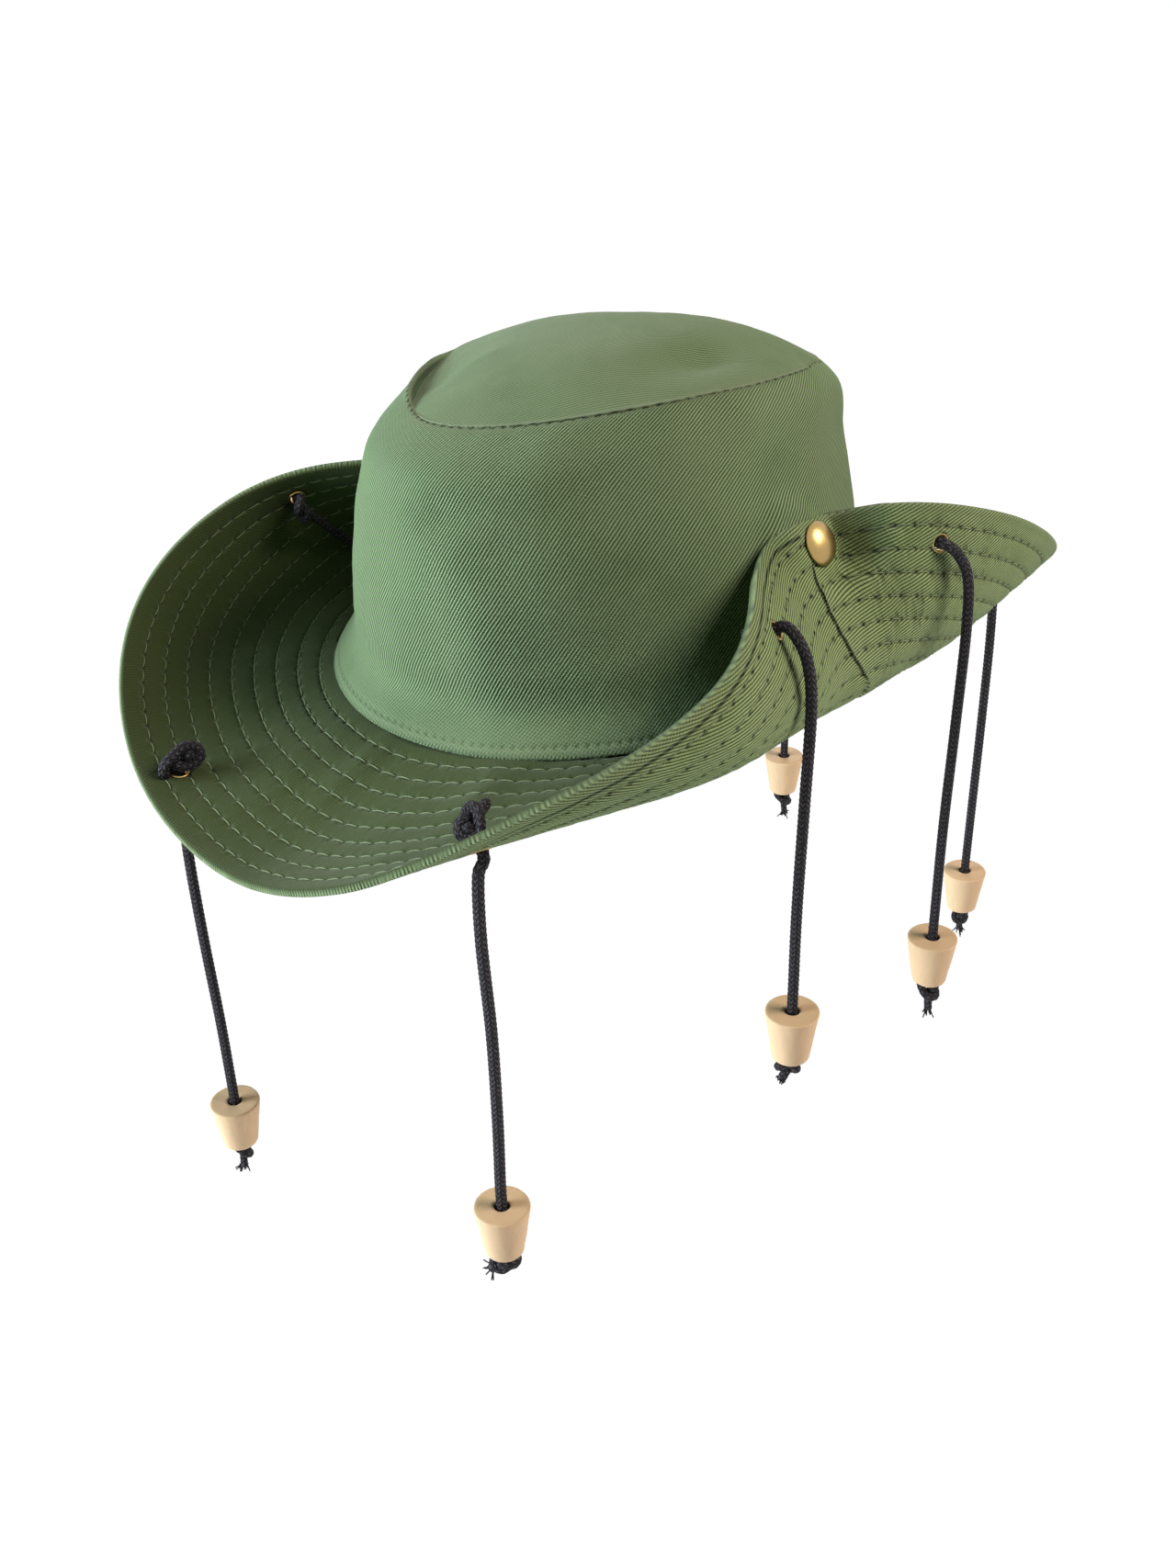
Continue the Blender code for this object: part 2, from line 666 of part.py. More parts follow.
def build_cords(parts, black):
    for row in CORDS:
        cord = dict(zip(CORD_COLUMNS, row))
        points, _ = cord_places(cord)
        middle, _, _, normal = brim_frame(cord["angle"], EYELET_REACH)
        route = [middle + normal * eyelet_top()] + smooth_route(points)
        name = "cord_%d" % cord["number"]
        curve = bpy.data.curves.new(name, "CURVE")
        curve.dimensions = "3D"
        spline = curve.splines.new("POLY")
        spline.points.add(len(route) - 1)
        for place, point in zip(route, spline.points):
            point.co = (place.x, place.y, place.z, 1.0)
        curve.bevel_depth = CORD_DIAMETER / 2.0
        curve.bevel_resolution = 2
        curve.use_fill_caps = True
        add_object(name, curve, parts, black)


def build_corks(parts, wood):
    profile = (
        (CORK_BORE_RADIUS, 0.0),
        (CORK_TOP_RADIUS, 0.0),
        (CORK_FOOT_RADIUS, -CORK_LENGTH),
        (CORK_BORE_RADIUS, -CORK_LENGTH),
    )
    for row in CORDS:
        cord = dict(zip(CORD_COLUMNS, row))
        _, cork_top = cord_places(cord)
        cork = turned("cork_%d" % cord["number"], profile, ROUND_SIDES, True, parts, wood)
        cork.location = cork_top


def knot_profile(radius, half_length, tail_radius, tail_length):
    """A knot with its tail up: the radius and height down its outer side."""
    waist = half_length * 0.80
    return (
        (0.0, half_length + tail_length),
        (tail_radius, half_length + tail_length - tail_radius * 0.3),
        (tail_radius, waist),
        (radius * 0.86, half_length * 0.50),
        (radius, 0.0),
        (radius * 0.80, -half_length * 0.60),
        (0.0, -half_length),
    )


def build_knots(parts, black):
    for row in KNOTS:
        knot = dict(zip(KNOT_COLUMNS, row))
        cord = row_of(CORD_COLUMNS, CORDS, knot["number"])
        middle, out, around, normal = brim_frame(cord["angle"], EYELET_REACH)
        along = normal.cross(around) * -knot["out"] + around * knot["side"] + normal * knot["up"]
        along.normalize()
        profile = knot_profile(knot["radius"], knot["half_length"], knot["tail_radius"], knot["tail_length"])
        lean = along.dot(normal)
        spread = math.sqrt(1.0 - lean * lean)
        reach = math.hypot(knot["half_length"] * lean, knot["radius"] * spread)
        piece = turned("knot_%d" % knot["number"], profile, KNOT_SIDES, False, parts, black)
        piece.matrix_world = Matrix.Translation(middle + normal * (eyelet_top() + GAP + reach)) @ aim(along)


def build_stop_knots(parts, black):
    for row in STOP_KNOTS:
        knot = dict(zip(STOP_KNOT_COLUMNS, row))
        cord = row_of(CORD_COLUMNS, CORDS, knot["number"])
        _, cork_top = cord_places(cord)
        _, out, around, _ = brim_frame(cord["angle"], EYELET_REACH)
        along = (out * knot["out"] + around * knot["side"] - Vector((0.0, 0.0, 1.0))).normalized()
        radius = knot["radius"]
        profile = knot_profile(radius, radius, STOP_TAIL_RADIUS, knot["tail_length"])
        piece = turned("stop_knot_%d" % knot["number"], profile, KNOT_SIDES, False, parts, black)
        foot = cork_top - Vector((0.0, 0.0, CORK_LENGTH + GAP + radius))
        piece.matrix_world = Matrix.Translation(foot) @ aim(along)


def main():
    remove_scene_objects()
    parts = make_collection("cork_hat")
    cutters = make_collection("cutters")
    materials = {name: make_material(name) for name in FINISHES}
    build_crown(parts, cutters, materials["crown_twill"])
    build_brim(parts, cutters, materials["brim_twill"])
    build_snaps(parts, materials["brass"])
    build_eyelets(parts, materials["brass"])
    build_cords(parts, materials["black_cord"])
    build_corks(parts, materials["cork_wood"])
    build_knots(parts, materials["black_cord"])
    build_stop_knots(parts, materials["black_cord"])
    bpy.context.view_layer.update()


main()
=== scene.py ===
"""The cork hat dressed for its picture: twill crown and quilted brim, press studs, eyelets, braided cords,
corks and knots, round the packed solids.

Metres, +Z up, the front of the hat along -Y. Angles go round the hat in degrees: 0 is the side on the right
when the hat is seen from the front, 90 the back, -90 the front.
"""

import math
import random

import bpy
import numpy as np
from mathutils import Matrix, Vector, noise


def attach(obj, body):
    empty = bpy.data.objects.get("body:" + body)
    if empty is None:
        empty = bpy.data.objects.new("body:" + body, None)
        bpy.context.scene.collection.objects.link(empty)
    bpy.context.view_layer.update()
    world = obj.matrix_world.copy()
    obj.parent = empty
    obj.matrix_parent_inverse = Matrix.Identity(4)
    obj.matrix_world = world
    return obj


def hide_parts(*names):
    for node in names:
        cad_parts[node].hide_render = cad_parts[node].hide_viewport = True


bl_info = {
    "name": "Cork hat",
    "version": (1, 0, 0),
    "blender": (4, 5, 0),
    "location": "View3D > Sidebar > Cork hat",
    "description": "Builds a twill hat with corks on cords round its brim",
    "category": "Object",
}

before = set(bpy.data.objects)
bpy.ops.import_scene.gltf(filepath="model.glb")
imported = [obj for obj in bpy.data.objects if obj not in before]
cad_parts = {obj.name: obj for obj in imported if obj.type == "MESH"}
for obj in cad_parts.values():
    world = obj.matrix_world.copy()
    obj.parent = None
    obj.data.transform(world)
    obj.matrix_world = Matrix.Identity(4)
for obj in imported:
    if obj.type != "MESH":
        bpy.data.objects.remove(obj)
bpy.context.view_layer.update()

# Camera, as fitted to the photograph: place, turn in degrees and lens.
CAMERA_PLACE = (0.3570, -0.3590, 0.2257)
CAMERA_AZIMUTH = 45.89
CAMERA_PITCH = 29.19
CAMERA_ROLL = -1.67
CAMERA_LENS = 36.27

# Floor and soft lights: azimuth and elevation seen from the hat in degrees, power and colour.
FLOOR_HEIGHT = -0.36
HAT_MIDDLE = Vector((0.0, 0.0, 0.03))
LIGHT_DISTANCE = 1.4
LIGHT_SIZE = 0.7
LIGHTS = (
    ("key_left", -120.0, 10.0, 30.5, (0.90, 1.0, 1.10)),
    ("fill_right", 30.0, 42.0, 16.0, (1.16, 1.0, 0.92)),
    ("back", 135.0, 22.0, 5.0, (1.0, 1.0, 1.0)),
)

# Head opening and brim, as in the part's source.
HEAD_HALF_WIDTH = 0.0896
HEAD_HALF_LENGTH = 0.0985
SIDE_LIFT = 0.0036
BACK_DROP = 0.0034
BRIM_WIDTH = 0.0704
BRIM_THICKNESS = 0.0026
BRIM_MARGIN = 0.0025
BRIM_FAN = 0.0136
FAN_POWER = 1.3
BEND_SOFTNESS = 0.14
SEAT_FLAT = 0.0098
SEAT_BLEND = 0.0185
SEAT_WALL_DEPTH = 0.0046
SNAP_ANGLE = 4.0
SNAP_REACH = 0.87
SNAP_PULL = 0.0008
SNAP_RISE = 25.0
SNAP_TURN = 6.0

BRIM_COLUMNS = ("angle", "start_tilt", "edge_tilt", "bend_at")
BRIM_SECTIONS = (
    (-90, -21.0, 2.0, 0.72),
    (-68, -12.0, 10.5, 0.71),
    (-46, 6.0, 59.0, 0.81),
    (-28, 11.0, 104.5, 0.67),
    (-12, 13.0, 142.0, 0.37),
    (0, 11.5, 131.0, 0.13),
    (5, 11.5, 128.0, 0.13),
    (13, 10.0, 104.0, 0.13),
    (28, 1.0, 77.0, 0.24),
    (46, -6.0, 41.0, 0.35),
    (68, -10.0, 9.6, 0.43),
    (90, -9.7, 7.6, 0.45),
)

# Crown, as in the part's source.
CROWN_THICKNESS = 0.0016
CROWN_TOP = 0.0949
CROWN_TOP_FRONT_RISE = 0.0034
CROWN_TOP_SIDE_RISE = 0.0039
TIP_POWER = 1.83
TIP_LEAN = 0.0018
TIP_TURN = -1.6
TIP_INSET = 0.0019
TIP_DOME = 0.0140
TIP_DOME_POWER = 2.5
WALL_SEAT = 0.0015
BASE_DROP = 0.00065
CROWN_COLUMNS = ("level", "half_width", "half_length", "back_shift")
CROWN_SECTIONS = (
    (0.00, 0.0896, 0.0985, 0.0000),
    (0.10, 0.0848, 0.0907, 0.0002),
    (0.25, 0.0809, 0.0915, 0.0005),
    (0.50, 0.0744, 0.0930, 0.0010),
    (0.75, 0.0640, 0.0934, 0.0023),
    (0.90, 0.0580, 0.0910, 0.0048),
    (1.00, 0.0533, 0.0785, 0.0064),
)

# Soft dents and folds: depth is positive inwards or downwards. The first rows are those of the solids.
DENT_COLUMNS = ("angle", "place", "angle_spread", "place_spread", "depth")
WALL_DENTS = (
    (-92, 0.62, 14, 0.22, 0.0022),
    (-62, 0.30, 12, 0.35, -0.0010),
    (6, 0.70, 16, 0.18, 0.0016),
    (30, 0.55, 10, 0.30, 0.0020),
    (100, 0.60, 18, 0.25, 0.0018),
    (172, 0.62, 16, 0.22, 0.0020),
    (-140, 0.55, 14, 0.25, 0.0018),
    (-88, 0.83, 10, 0.07, 0.0014),
    (-72, 0.75, 9, 0.07, 0.0013),
    (-60, 0.65, 7, 0.06, 0.0008),
    (-67, 0.42, 8, 0.34, -0.0014),
    (-50, 0.88, 7, 0.10, -0.0009),
    (-36, 0.46, 12, 0.24, 0.0012),
    (-12, 0.97, 5, 0.05, 0.0009),
    (-1, 0.91, 5, 0.05, -0.0006),
    (39, 0.76, 7, 0.18, 0.0012),
)
TIP_DENTS = (
    (-4, 0.70, 26, 0.20, 0.0030),
    (-122, 0.88, 24, 0.16, 0.0024),
    (120, 0.60, 40, 0.25, 0.0014),
    (-1, 0.69, 11, 0.11, 0.0016),
    (-112, 0.92, 4, 0.10, -0.0005),
    (-118, 0.70, 6, 0.14, -0.0006),
    (-70, 0.86, 16, 0.10, 0.0006),
)
BRIM_FOLDS = (
    (-100, 0.45, 7, 0.55, -0.0012),
    (-82, 0.55, 9, 0.45, 0.0014),
    (-62, 0.35, 6, 0.50, -0.0012),
    (-125, 0.50, 8, 0.50, -0.0010),
    (78, 0.60, 10, 0.50, 0.0012),
    (104, 0.60, 9, 0.50, -0.0012),
)

# Small ridges of the brim, up where the depth is negative, clear of the eyelets.
BRIM_RIDGES = (
    (-89, 0.26, 3.2, 0.26, -0.0012),
    (-62, 0.28, 2.8, 0.18, -0.0009),
    (-68, 0.72, 3.0, 0.16, -0.0006),
    (-97, 0.62, 4.0, 0.22, -0.0005),
    (-128, 0.40, 4.0, 0.30, -0.0007),
    (-146, 0.30, 4.0, 0.24, -0.0006),
    (10, 0.74, 2.4, 0.10, -0.0008),
    (16, 0.60, 3.0, 0.12, 0.0009),
    (96, 0.34, 3.5, 0.26, -0.0009),
    (140, 0.40, 4.0, 0.30, -0.0008),
)

# Seam across the right side of the brim, where the cloth of its underside is joined.
CREASE_COLUMNS = ("reach", "angle")
CREASE_LINE = ((0.10, 7.5), (0.18, 6.0), (0.36, 1.0), (0.52, -1.0), (0.62, -1.0), (0.72, 0.0), (0.80, 1.0))
CREASE_RISE = 0.0007

# Where the seam round the tip gapes: middle angle, half width in degrees and share.
SEAM_GAPS = ((-131.0, 21.0, 1.0), (38.0, 6.5, 0.55))

# Rows of stitching round the brim, counted from the edge, and the stitches.
ROW_INSET = 0.0074
ROW_SPACING = 0.00724
ROW_COUNT = 9
ROW_SINK = 0.00034
STITCH_LENGTH = 0.0057
STITCH_RADIUS = 0.00020
STITCH_BOW = 0.00032
ROW_SHIFT = 0.37
SEAM_STITCH = 0.0046
BASE_STITCH = 0.0030
HEM_WIDTH = 0.0045
HEM_TICK = 0.0011
# Painted shade: the brim's top face darkened against its underside, which is the same cloth.
TOP_FACE_PAINTED_SHADE = (0.25, 0.265, 0.185, 1.0)
CLOTH_INNER_RADIUS = 0.0942
CLOTH_EDGE_RADIUS = CLOTH_INNER_RADIUS + BRIM_WIDTH
TWILL_PITCH = 0.00096
BRIM_PITCH = 0.00094
WALL_TWILL = 53.0
TIP_TWILL = 62.0
BRIM_TWILL = 76.0
PANEL_MIDDLE = -60.0

# The crown wall as cloth laid flat: its height, and the row of points from which it is unrolled.
WALL_SPAN = 0.100
FLAT_FROM_ROW = 17

# Eyelets, cords and corks, as in the part's source.
EYELET_REACH = 0.824
EYELET_FACET = 5.2
EYELET_FACET_REACH = 0.062
EYELET_SEAT = 0.0008
EYELET_FLANGE = 0.0005
EYELET_HOLE_RADIUS = 0.0031
SNAP_HOLE_RADIUS = 0.0022
CORD_DIAMETER = 0.0035
CORD_LEAD = 0.0012
CORD_RING_STEP = 0.00045
CORD_SIDES = 18
CORD_WALES = 6.0
CORD_LOOP = 0.0018
CORK_TOP_RADIUS = 0.0087
CORK_FOOT_RADIUS = 0.0060
CORK_LENGTH = 0.0185
CORK_BORE_RADIUS = 0.0022
CORK_EDGE_RADIUS = 0.0006
CORK_SIDES = 64
CORD_COLUMNS = ("number", "angle", "cork_drop")
CORDS = (
    (1, -108.7, 0.131),
    (2, -54.3, 0.125),
    (3, -15.8, 0.126),
    (4, 17.8, 0.145),
    (5, 61.9, 0.131),
    (6, 107.1, 0.112),
    (7, -159.6, 0.128),
    (8, 162.2, 0.130),
)

# Route of each cord below its eyelet, in millimetres: down, out from the hat and round the hat.
ROUTES = {
    1: ((8, 0.6, 0.1), (30, 1.6, 0.7), (62, 1.4, 0.9), (95, 0.6, 0.4), (122, 0.4, 0.0)),
    2: ((8, 3.6, -0.2), (28, 4.6, -0.4), (60, 4.0, 0.6), (92, 3.6, 0.5), (116, 3.6, 0.0)),
    3: ((0, 7.6, 3.2), (7, 11.4, 4.4), (20, 13.4, 4.6), (50, 13.2, 4.0), (88, 12.4, 3.6), (117, 12.4, 3.6)),
    4: ((3.4, 6.8, 0.8), (11, 10.4, 1.2), (28, 11.4, 1.4), (60, 11.0, 1.2), (100, 10.4, 0.6),
        (136, 10.4, 0.6)),
    5: ((8, 2.2, 0.0), (30, 3.2, 0.6), (66, 3.0, 0.2), (98, 2.6, -0.2), (122, 2.6, 0.0)),
    6: ((8, 0.9, 0.0), (26, 1.6, -0.5), (56, 1.4, -0.6), (84, 1.0, 0.0), (103, 1.0, 0.0)),
    7: ((1.5, 7.2, -1.2), (9, 11.4, -1.7), (24, 12.8, -1.8), (58, 12.4, -1.4), (94, 12.0, -1.2),
        (119, 12.0, -1.2)),
    8: ((3.4, 6.8, -0.8), (11, 10.2, -1.1), (28, 11.2, -1.2), (62, 10.8, -0.8), (98, 10.4, -0.6),
        (121, 10.4, -0.6)),
}

# A pulled-tight overhand knot, first half of its centre line in cord diameters, along +Z.
# The second half is the first turned half a turn about Y.
KNOT_COLUMNS = ("x", "y", "z")
KNOT_LINE = (
    (-0.02, -0.04, -0.95),
    (-0.13, -0.12, -0.55),
    (-0.46, -0.38, -0.19),
    (-0.49, -0.74, 0.11),
    (-0.30, -1.00, 0.44),
    (0.03, -1.09, 0.76),
    (0.41, -0.97, 0.99),
    (0.77, -0.69, 1.08),
    (0.99, -0.29, 1.04),
    (1.01, 0.15, 0.90),
    (0.86, 0.53, 0.68),
    (0.57, 0.75, 0.40),
    (0.19, 0.78, 0.13),
)

# Knots on top of the brim: size against the cord, stretch along the tail, tail length in metres, turn about
# the tail in degrees, and the way the tail points (out from the hat, round the hat, up from the cloth).
TOP_KNOT_COLUMNS = ("number", "size", "stretch", "tail", "turn", "out", "side", "up")
TOP_KNOTS = (
    (1, 0.00310, 1.75, 0.0000, 20, -0.80, 0.30, 0.40),
    (2, 0.00300, 1.05, 0.0070, 70, -1.00, 0.60, 0.80),
    (3, 0.00280, 1.00, 0.0050, 10, -0.80, -0.30, 0.20),
    (4, 0.00280, 1.00, 0.0050, 40, -0.80, 0.30, 0.20),
    (5, 0.00290, 1.10, 0.0070, 120, -0.60, -0.40, 0.60),
    (6, 0.00290, 1.10, 0.0080, 200, -0.50, 0.60, 0.40),
    (7, 0.00280, 1.05, 0.0262, 300, -0.60, -1.20, 0.80),
    (8, 0.00280, 1.00, 0.0050, 160, -0.80, -0.30, 0.20),
)

# Knots under the corks: size against the cord, turn, length of the frayed tail and the way it leans.
STOP_KNOT_COLUMNS = ("number", "size", "turn", "tail", "out", "side")
STOP_KNOTS = (
    (1, 0.00240, 0, 0.0052, 0.10, 0.15),
    (2, 0.00265, 60, 0.0062, -0.35, -0.75),
    (3, 0.00275, 200, 0.0035, -0.20, -0.40),
    (4, 0.00265, 110, 0.0062, 0.10, -0.05),
    (5, 0.00240, 300, 0.0056, 0.05, 0.05),
    (6, 0.00250, 150, 0.0062, 0.10, -0.10),
    (7, 0.00250, 30, 0.0052, -0.15, 0.10),
    (8, 0.00250, 250, 0.0052, 0.10, -0.15),
)

# Turned sections of the brass, radius and height in metres.
EYELET_SECTION = (
    (0.00235, 0.00130),
    (0.00242, 0.00165),
    (0.00262, 0.00186),
    (0.00290, 0.00190),
    (0.00318, 0.00180),
    (0.00336, 0.00158),
    (0.00330, 0.00140),
    (0.00290, 0.00132),
    (0.00270, 0.00110),
    (0.00270, -0.00110),
    (0.00290, -0.00132),
    (0.00322, -0.00140),
    (0.00326, -0.00152),
    (0.00310, -0.00168),
    (0.00286, -0.00176),
    (0.00262, -0.00172),
    (0.00242, -0.00155),
    (0.00235, -0.00130),
)
STUD_PROFILE = (
    (0.00000, 0.00505),
    (0.00120, 0.00500),
    (0.00250, 0.00482),
    (0.00370, 0.00452),
    (0.00480, 0.00408),
    (0.00570, 0.00352),
    (0.00640, 0.00292),
    (0.00685, 0.00238),
    (0.00702, 0.00200),
    (0.00695, 0.00172),
    (0.00660, 0.00158),
    (0.00600, 0.00156),
    (0.00200, 0.00160),
    (0.00160, 0.00140),
    (0.00160, -0.00160),
    (0.00330, -0.00168),
    (0.00355, -0.00190),
    (0.00355, -0.00370),
    (0.00330, -0.00400),
    (0.00180, -0.00412),
    (0.00160, -0.00430),
    (0.00160, -0.00690),
    (0.00400, -0.00700),
    (0.00425, -0.00720),
    (0.00425, -0.00760),
    (0.00400, -0.00782),
    (0.00000, -0.00785),
)


def wrap(angle):
    """Angles between -180 and 180 degrees."""
    return (angle + 180.0) % 360.0 - 180.0


def right_side_angle(angle):
    """Angles of the same places on the right side of the hat, from -90 to 90."""
    angle = wrap(np.asarray(angle, float))
    angle = np.where(angle > 90.0, 180.0 - angle, angle)
    return np.where(angle < -90.0, -180.0 - angle, angle)


def read_table(columns, rows, column, at, flat_ends):
    """A smooth curve through one column of a table, against its first column."""
    xs = np.array([row[0] for row in rows], dtype=float)
    ys = np.array([row[columns.index(column)] for row in rows], dtype=float)
    widths = np.diff(xs)
    rises = np.diff(ys) / widths
    slopes = np.zeros(len(xs))
    slopes[1:-1] = (rises[:-1] * widths[1:] + rises[1:] * widths[:-1]) / (widths[1:] + widths[:-1])
    if not flat_ends:
        slopes[0] = rises[0]
        slopes[-1] = rises[-1]
    at = np.asarray(at, float)
    i = np.clip(np.searchsorted(xs, at, side="right") - 1, 0, len(xs) - 2)
    t = (at - xs[i]) / widths[i]
    value = ys[i] * (1 + 2 * t) * (1 - t) ** 2 + slopes[i] * widths[i] * t * (1 - t) ** 2
    return value + ys[i + 1] * t * t * (3 - 2 * t) + slopes[i + 1] * widths[i] * t * t * (t - 1)


def dent_depth(dents, angle, place):
    """Depth of the soft dents of a table over a surface."""
    depth = np.zeros(np.broadcast(angle, place).shape)
    for row in dents:
        dent = dict(zip(DENT_COLUMNS, row))
        across = wrap(angle - dent["angle"]) / dent["angle_spread"]
        along = (place - dent["place"]) / dent["place_spread"]
        depth = depth + dent["depth"] * np.exp(-across * across - along * along)
    return depth


def base_height(angle):
    a = np.radians(angle)
    return SIDE_LIFT * np.cos(2.0 * a) - BACK_DROP * np.sin(a)


def head_rim(angle):
    """Points of the head opening's rim and the level way out of the hat there."""
    a = np.radians(angle)
    points = np.stack([HEAD_HALF_WIDTH * np.cos(a), HEAD_HALF_LENGTH * np.sin(a), base_height(angle)], -1)
    out = np.stack([np.cos(a) / HEAD_HALF_WIDTH, np.sin(a) / HEAD_HALF_LENGTH, np.zeros(np.shape(a))], -1)
    return points, out / np.linalg.norm(out, axis=-1, keepdims=True)


def brim_curve(angles, reaches):
    """Middle of the brim cloth at every pair of angles and reaches, before the press studs are closed."""
    angles = np.asarray(angles, float)
    reaches = np.asarray(reaches, float)
    side = right_side_angle(angles)
    start, edge, bend_at = (
        read_table(BRIM_COLUMNS, BRIM_SECTIONS, column, side, True)[:, None]
        for column in ("start_tilt", "edge_tilt", "bend_at")
    )
    fine = np.linspace(0.0, 1.05, 106)
    middles = (fine[1:] + fine[:-1]) / 2.0
    bend = [1.0 / (1.0 + np.exp(-(s - bend_at) / BEND_SOFTNESS)) for s in (0.0, middles[None, :], 1.0)]
    tilt = np.radians(start + (edge - start) * (bend[1] - bend[0]) / (bend[2] - bend[0]))
    step = BRIM_WIDTH * (fine[1] - fine[0])
    runs = []
    for part in (np.cos(tilt), np.sin(tilt)):
        total = np.concatenate([np.zeros((len(angles), 1)), np.cumsum(part * step, axis=1)], axis=1)
        runs.append(np.array([np.interp(reaches, fine, row) for row in total]))
    level, rise = runs
    inner = np.minimum(reaches, 0.0)[None, :] * BRIM_WIDTH
    level = level + inner
    rise = rise - dent_depth(BRIM_FOLDS, angles[:, None], reaches[None, :]) * (reaches > 0.0)
    rim, out = head_rim(angles)
    around = np.stack([-out[:, 1], out[:, 0], out[:, 2]], -1)
    fan = BRIM_FAN * np.sin(2.0 * np.radians(angles))[:, None]
    fan = fan * np.maximum(reaches, 0.0)[None, :] ** FAN_POWER
    points = rim[:, None] + out[:, None] * level[..., None] + around[:, None] * fan[..., None]
    points[..., 2] += rise
    return points


def snap_frame(side):
    """Middle of the snapped brim cloth and the way its stud points; side is 1 right, -1 left."""
    rise = math.radians(SNAP_RISE)
    turn = math.radians(SNAP_TURN)
    way = np.array([side * math.cos(rise) * math.cos(turn), math.cos(rise) * math.sin(turn), math.sin(rise)])
    middle = brim_curve([SNAP_ANGLE if side > 0 else 180.0 - SNAP_ANGLE], [SNAP_REACH])[0, 0]
    middle[0] -= side * SNAP_PULL
    return middle, way


def seated(points, depth, allowed):
    """Cloth points drawn towards the flat seats of the press studs, at a depth below their middle."""
    points = points.copy()
    for side in (1, -1):
        middle, way = snap_frame(side)
        off = points - middle
        height = off @ way
        distance = np.linalg.norm(off - height[..., None] * way, axis=-1)
        share = np.clip((SEAT_BLEND - distance) / (SEAT_BLEND - SEAT_FLAT), 0.0, 1.0)
        share = share * share * (3.0 - 2.0 * share) * allowed * (points[..., 0] * side > 0.0)
        points -= ((height + depth) * share)[..., None] * way
    return points


def brim_points(angles, reaches):
    """Middle of the brim cloth at every pair of angles and reaches."""
    angles = np.asarray(angles, float)
    reaches = np.asarray(reaches, float)
    near = (np.abs(right_side_angle(angles) - SNAP_ANGLE) <= 20.0)[:, None] & (reaches >= 0.45)[None, :]
    return seated(brim_curve(angles, reaches), 0.0, near)


def eyelet_frame(angle):
    """Middle of the flat of the brim at an eyelet, the level way out, the way round and its normal."""
    half = EYELET_FACET / 2.0
    corners = brim_points(
        [angle - half, angle + half], [EYELET_REACH - EYELET_FACET_REACH, EYELET_REACH + EYELET_FACET_REACH]
    )
    middle = corners.mean(axis=(0, 1))
    along = (corners[:, 1] - corners[:, 0]).sum(axis=0)
    across = (corners[1] - corners[0]).sum(axis=0)
    normal = np.cross(along, across)
    out = head_rim(np.array([angle]))[1][0]
    return (
        Vector(middle), Vector(out), Vector((-out[1], out[0], 0.0)), Vector(normal / np.linalg.norm(normal))
    )


def crown_outline(angles, levels):
    """Level outline of the crown, and how far it is shifted to the back."""
    a = np.radians(angles)
    power = 2.0 + (TIP_POWER - 2.0) * levels
    reach = (np.abs(np.cos(a)) ** power + np.abs(np.sin(a)) ** power) ** (-1.0 / power)
    width, length, shift = (
        read_table(CROWN_COLUMNS, CROWN_SECTIONS, column, levels, False)
        for column in ("half_width", "half_length", "back_shift")
    )
    return width * reach * np.cos(a), length * reach * np.sin(a), shift


def tip_seam_height(angles):
    a = np.radians(angles)
    return CROWN_TOP - CROWN_TOP_FRONT_RISE * np.sin(a) + CROWN_TOP_SIDE_RISE * np.cos(2.0 * a)


def wall_points(angles, levels):
    """Outer face of the crown wall; angles and levels are arrays of one shape."""
    x, y, shift = crown_outline(angles, levels)
    radius = np.hypot(x, y)
    share = 1.0 - dent_depth(WALL_DENTS, angles, levels) / radius
    x, y = x * share, y * share
    turn = np.radians(TIP_TURN) * levels
    bottom = base_height(angles) + BRIM_THICKNESS / 2.0 + WALL_SEAT
    points = np.stack([
        x * np.cos(turn) - y * np.sin(turn) + TIP_LEAN * levels * levels,
        x * np.sin(turn) + y * np.cos(turn) + shift,
        bottom * (1.0 - levels) + tip_seam_height(angles) * levels,
    ], -1)
    near = (np.abs(right_side_angle(angles)) <= 20.0) & (levels > 0.2) & (levels < 0.9)
    return seated(points, SEAT_WALL_DEPTH, near)


def tip_points(angles, ratios):
    """Outer face of the tip; angles and ratios are arrays of one shape."""
    ones = np.ones(np.shape(angles))
    seam = wall_points(angles, ones)
    shift = crown_outline(angles, ones)[2]
    out_x, out_y = seam[..., 0] - TIP_LEAN, seam[..., 1] - shift
    share = ratios * (1.0 - TIP_INSET / np.hypot(out_x, out_y))
    height = CROWN_TOP + (tip_seam_height(angles) - CROWN_TOP) * ratios * ratios
    height = height + TIP_DOME * (1.0 - ratios ** TIP_DOME_POWER) - dent_depth(TIP_DENTS, angles, ratios)
    return np.stack([TIP_LEAN + out_x * share, shift + out_y * share, height], -1)


def surface_normals(points):
    """Unit normals of a grid of points whose first direction closes on itself; rows x columns."""
    around = np.roll(points, -1, axis=0) - np.roll(points, 1, axis=0)
    along = np.gradient(points, axis=1)
    normals = np.cross(around, along)
    return normals / np.linalg.norm(normals, axis=-1, keepdims=True)


def clear_selection():
    if bpy.context.object is not None and bpy.context.object.mode != "OBJECT":
        bpy.ops.object.mode_set(mode="OBJECT")
    bpy.ops.object.select_all(action="DESELECT")


def take(thing):
    """Makes one object the only selected and active one."""
    clear_selection()
    thing.select_set(True)
    bpy.context.view_layer.objects.active = thing


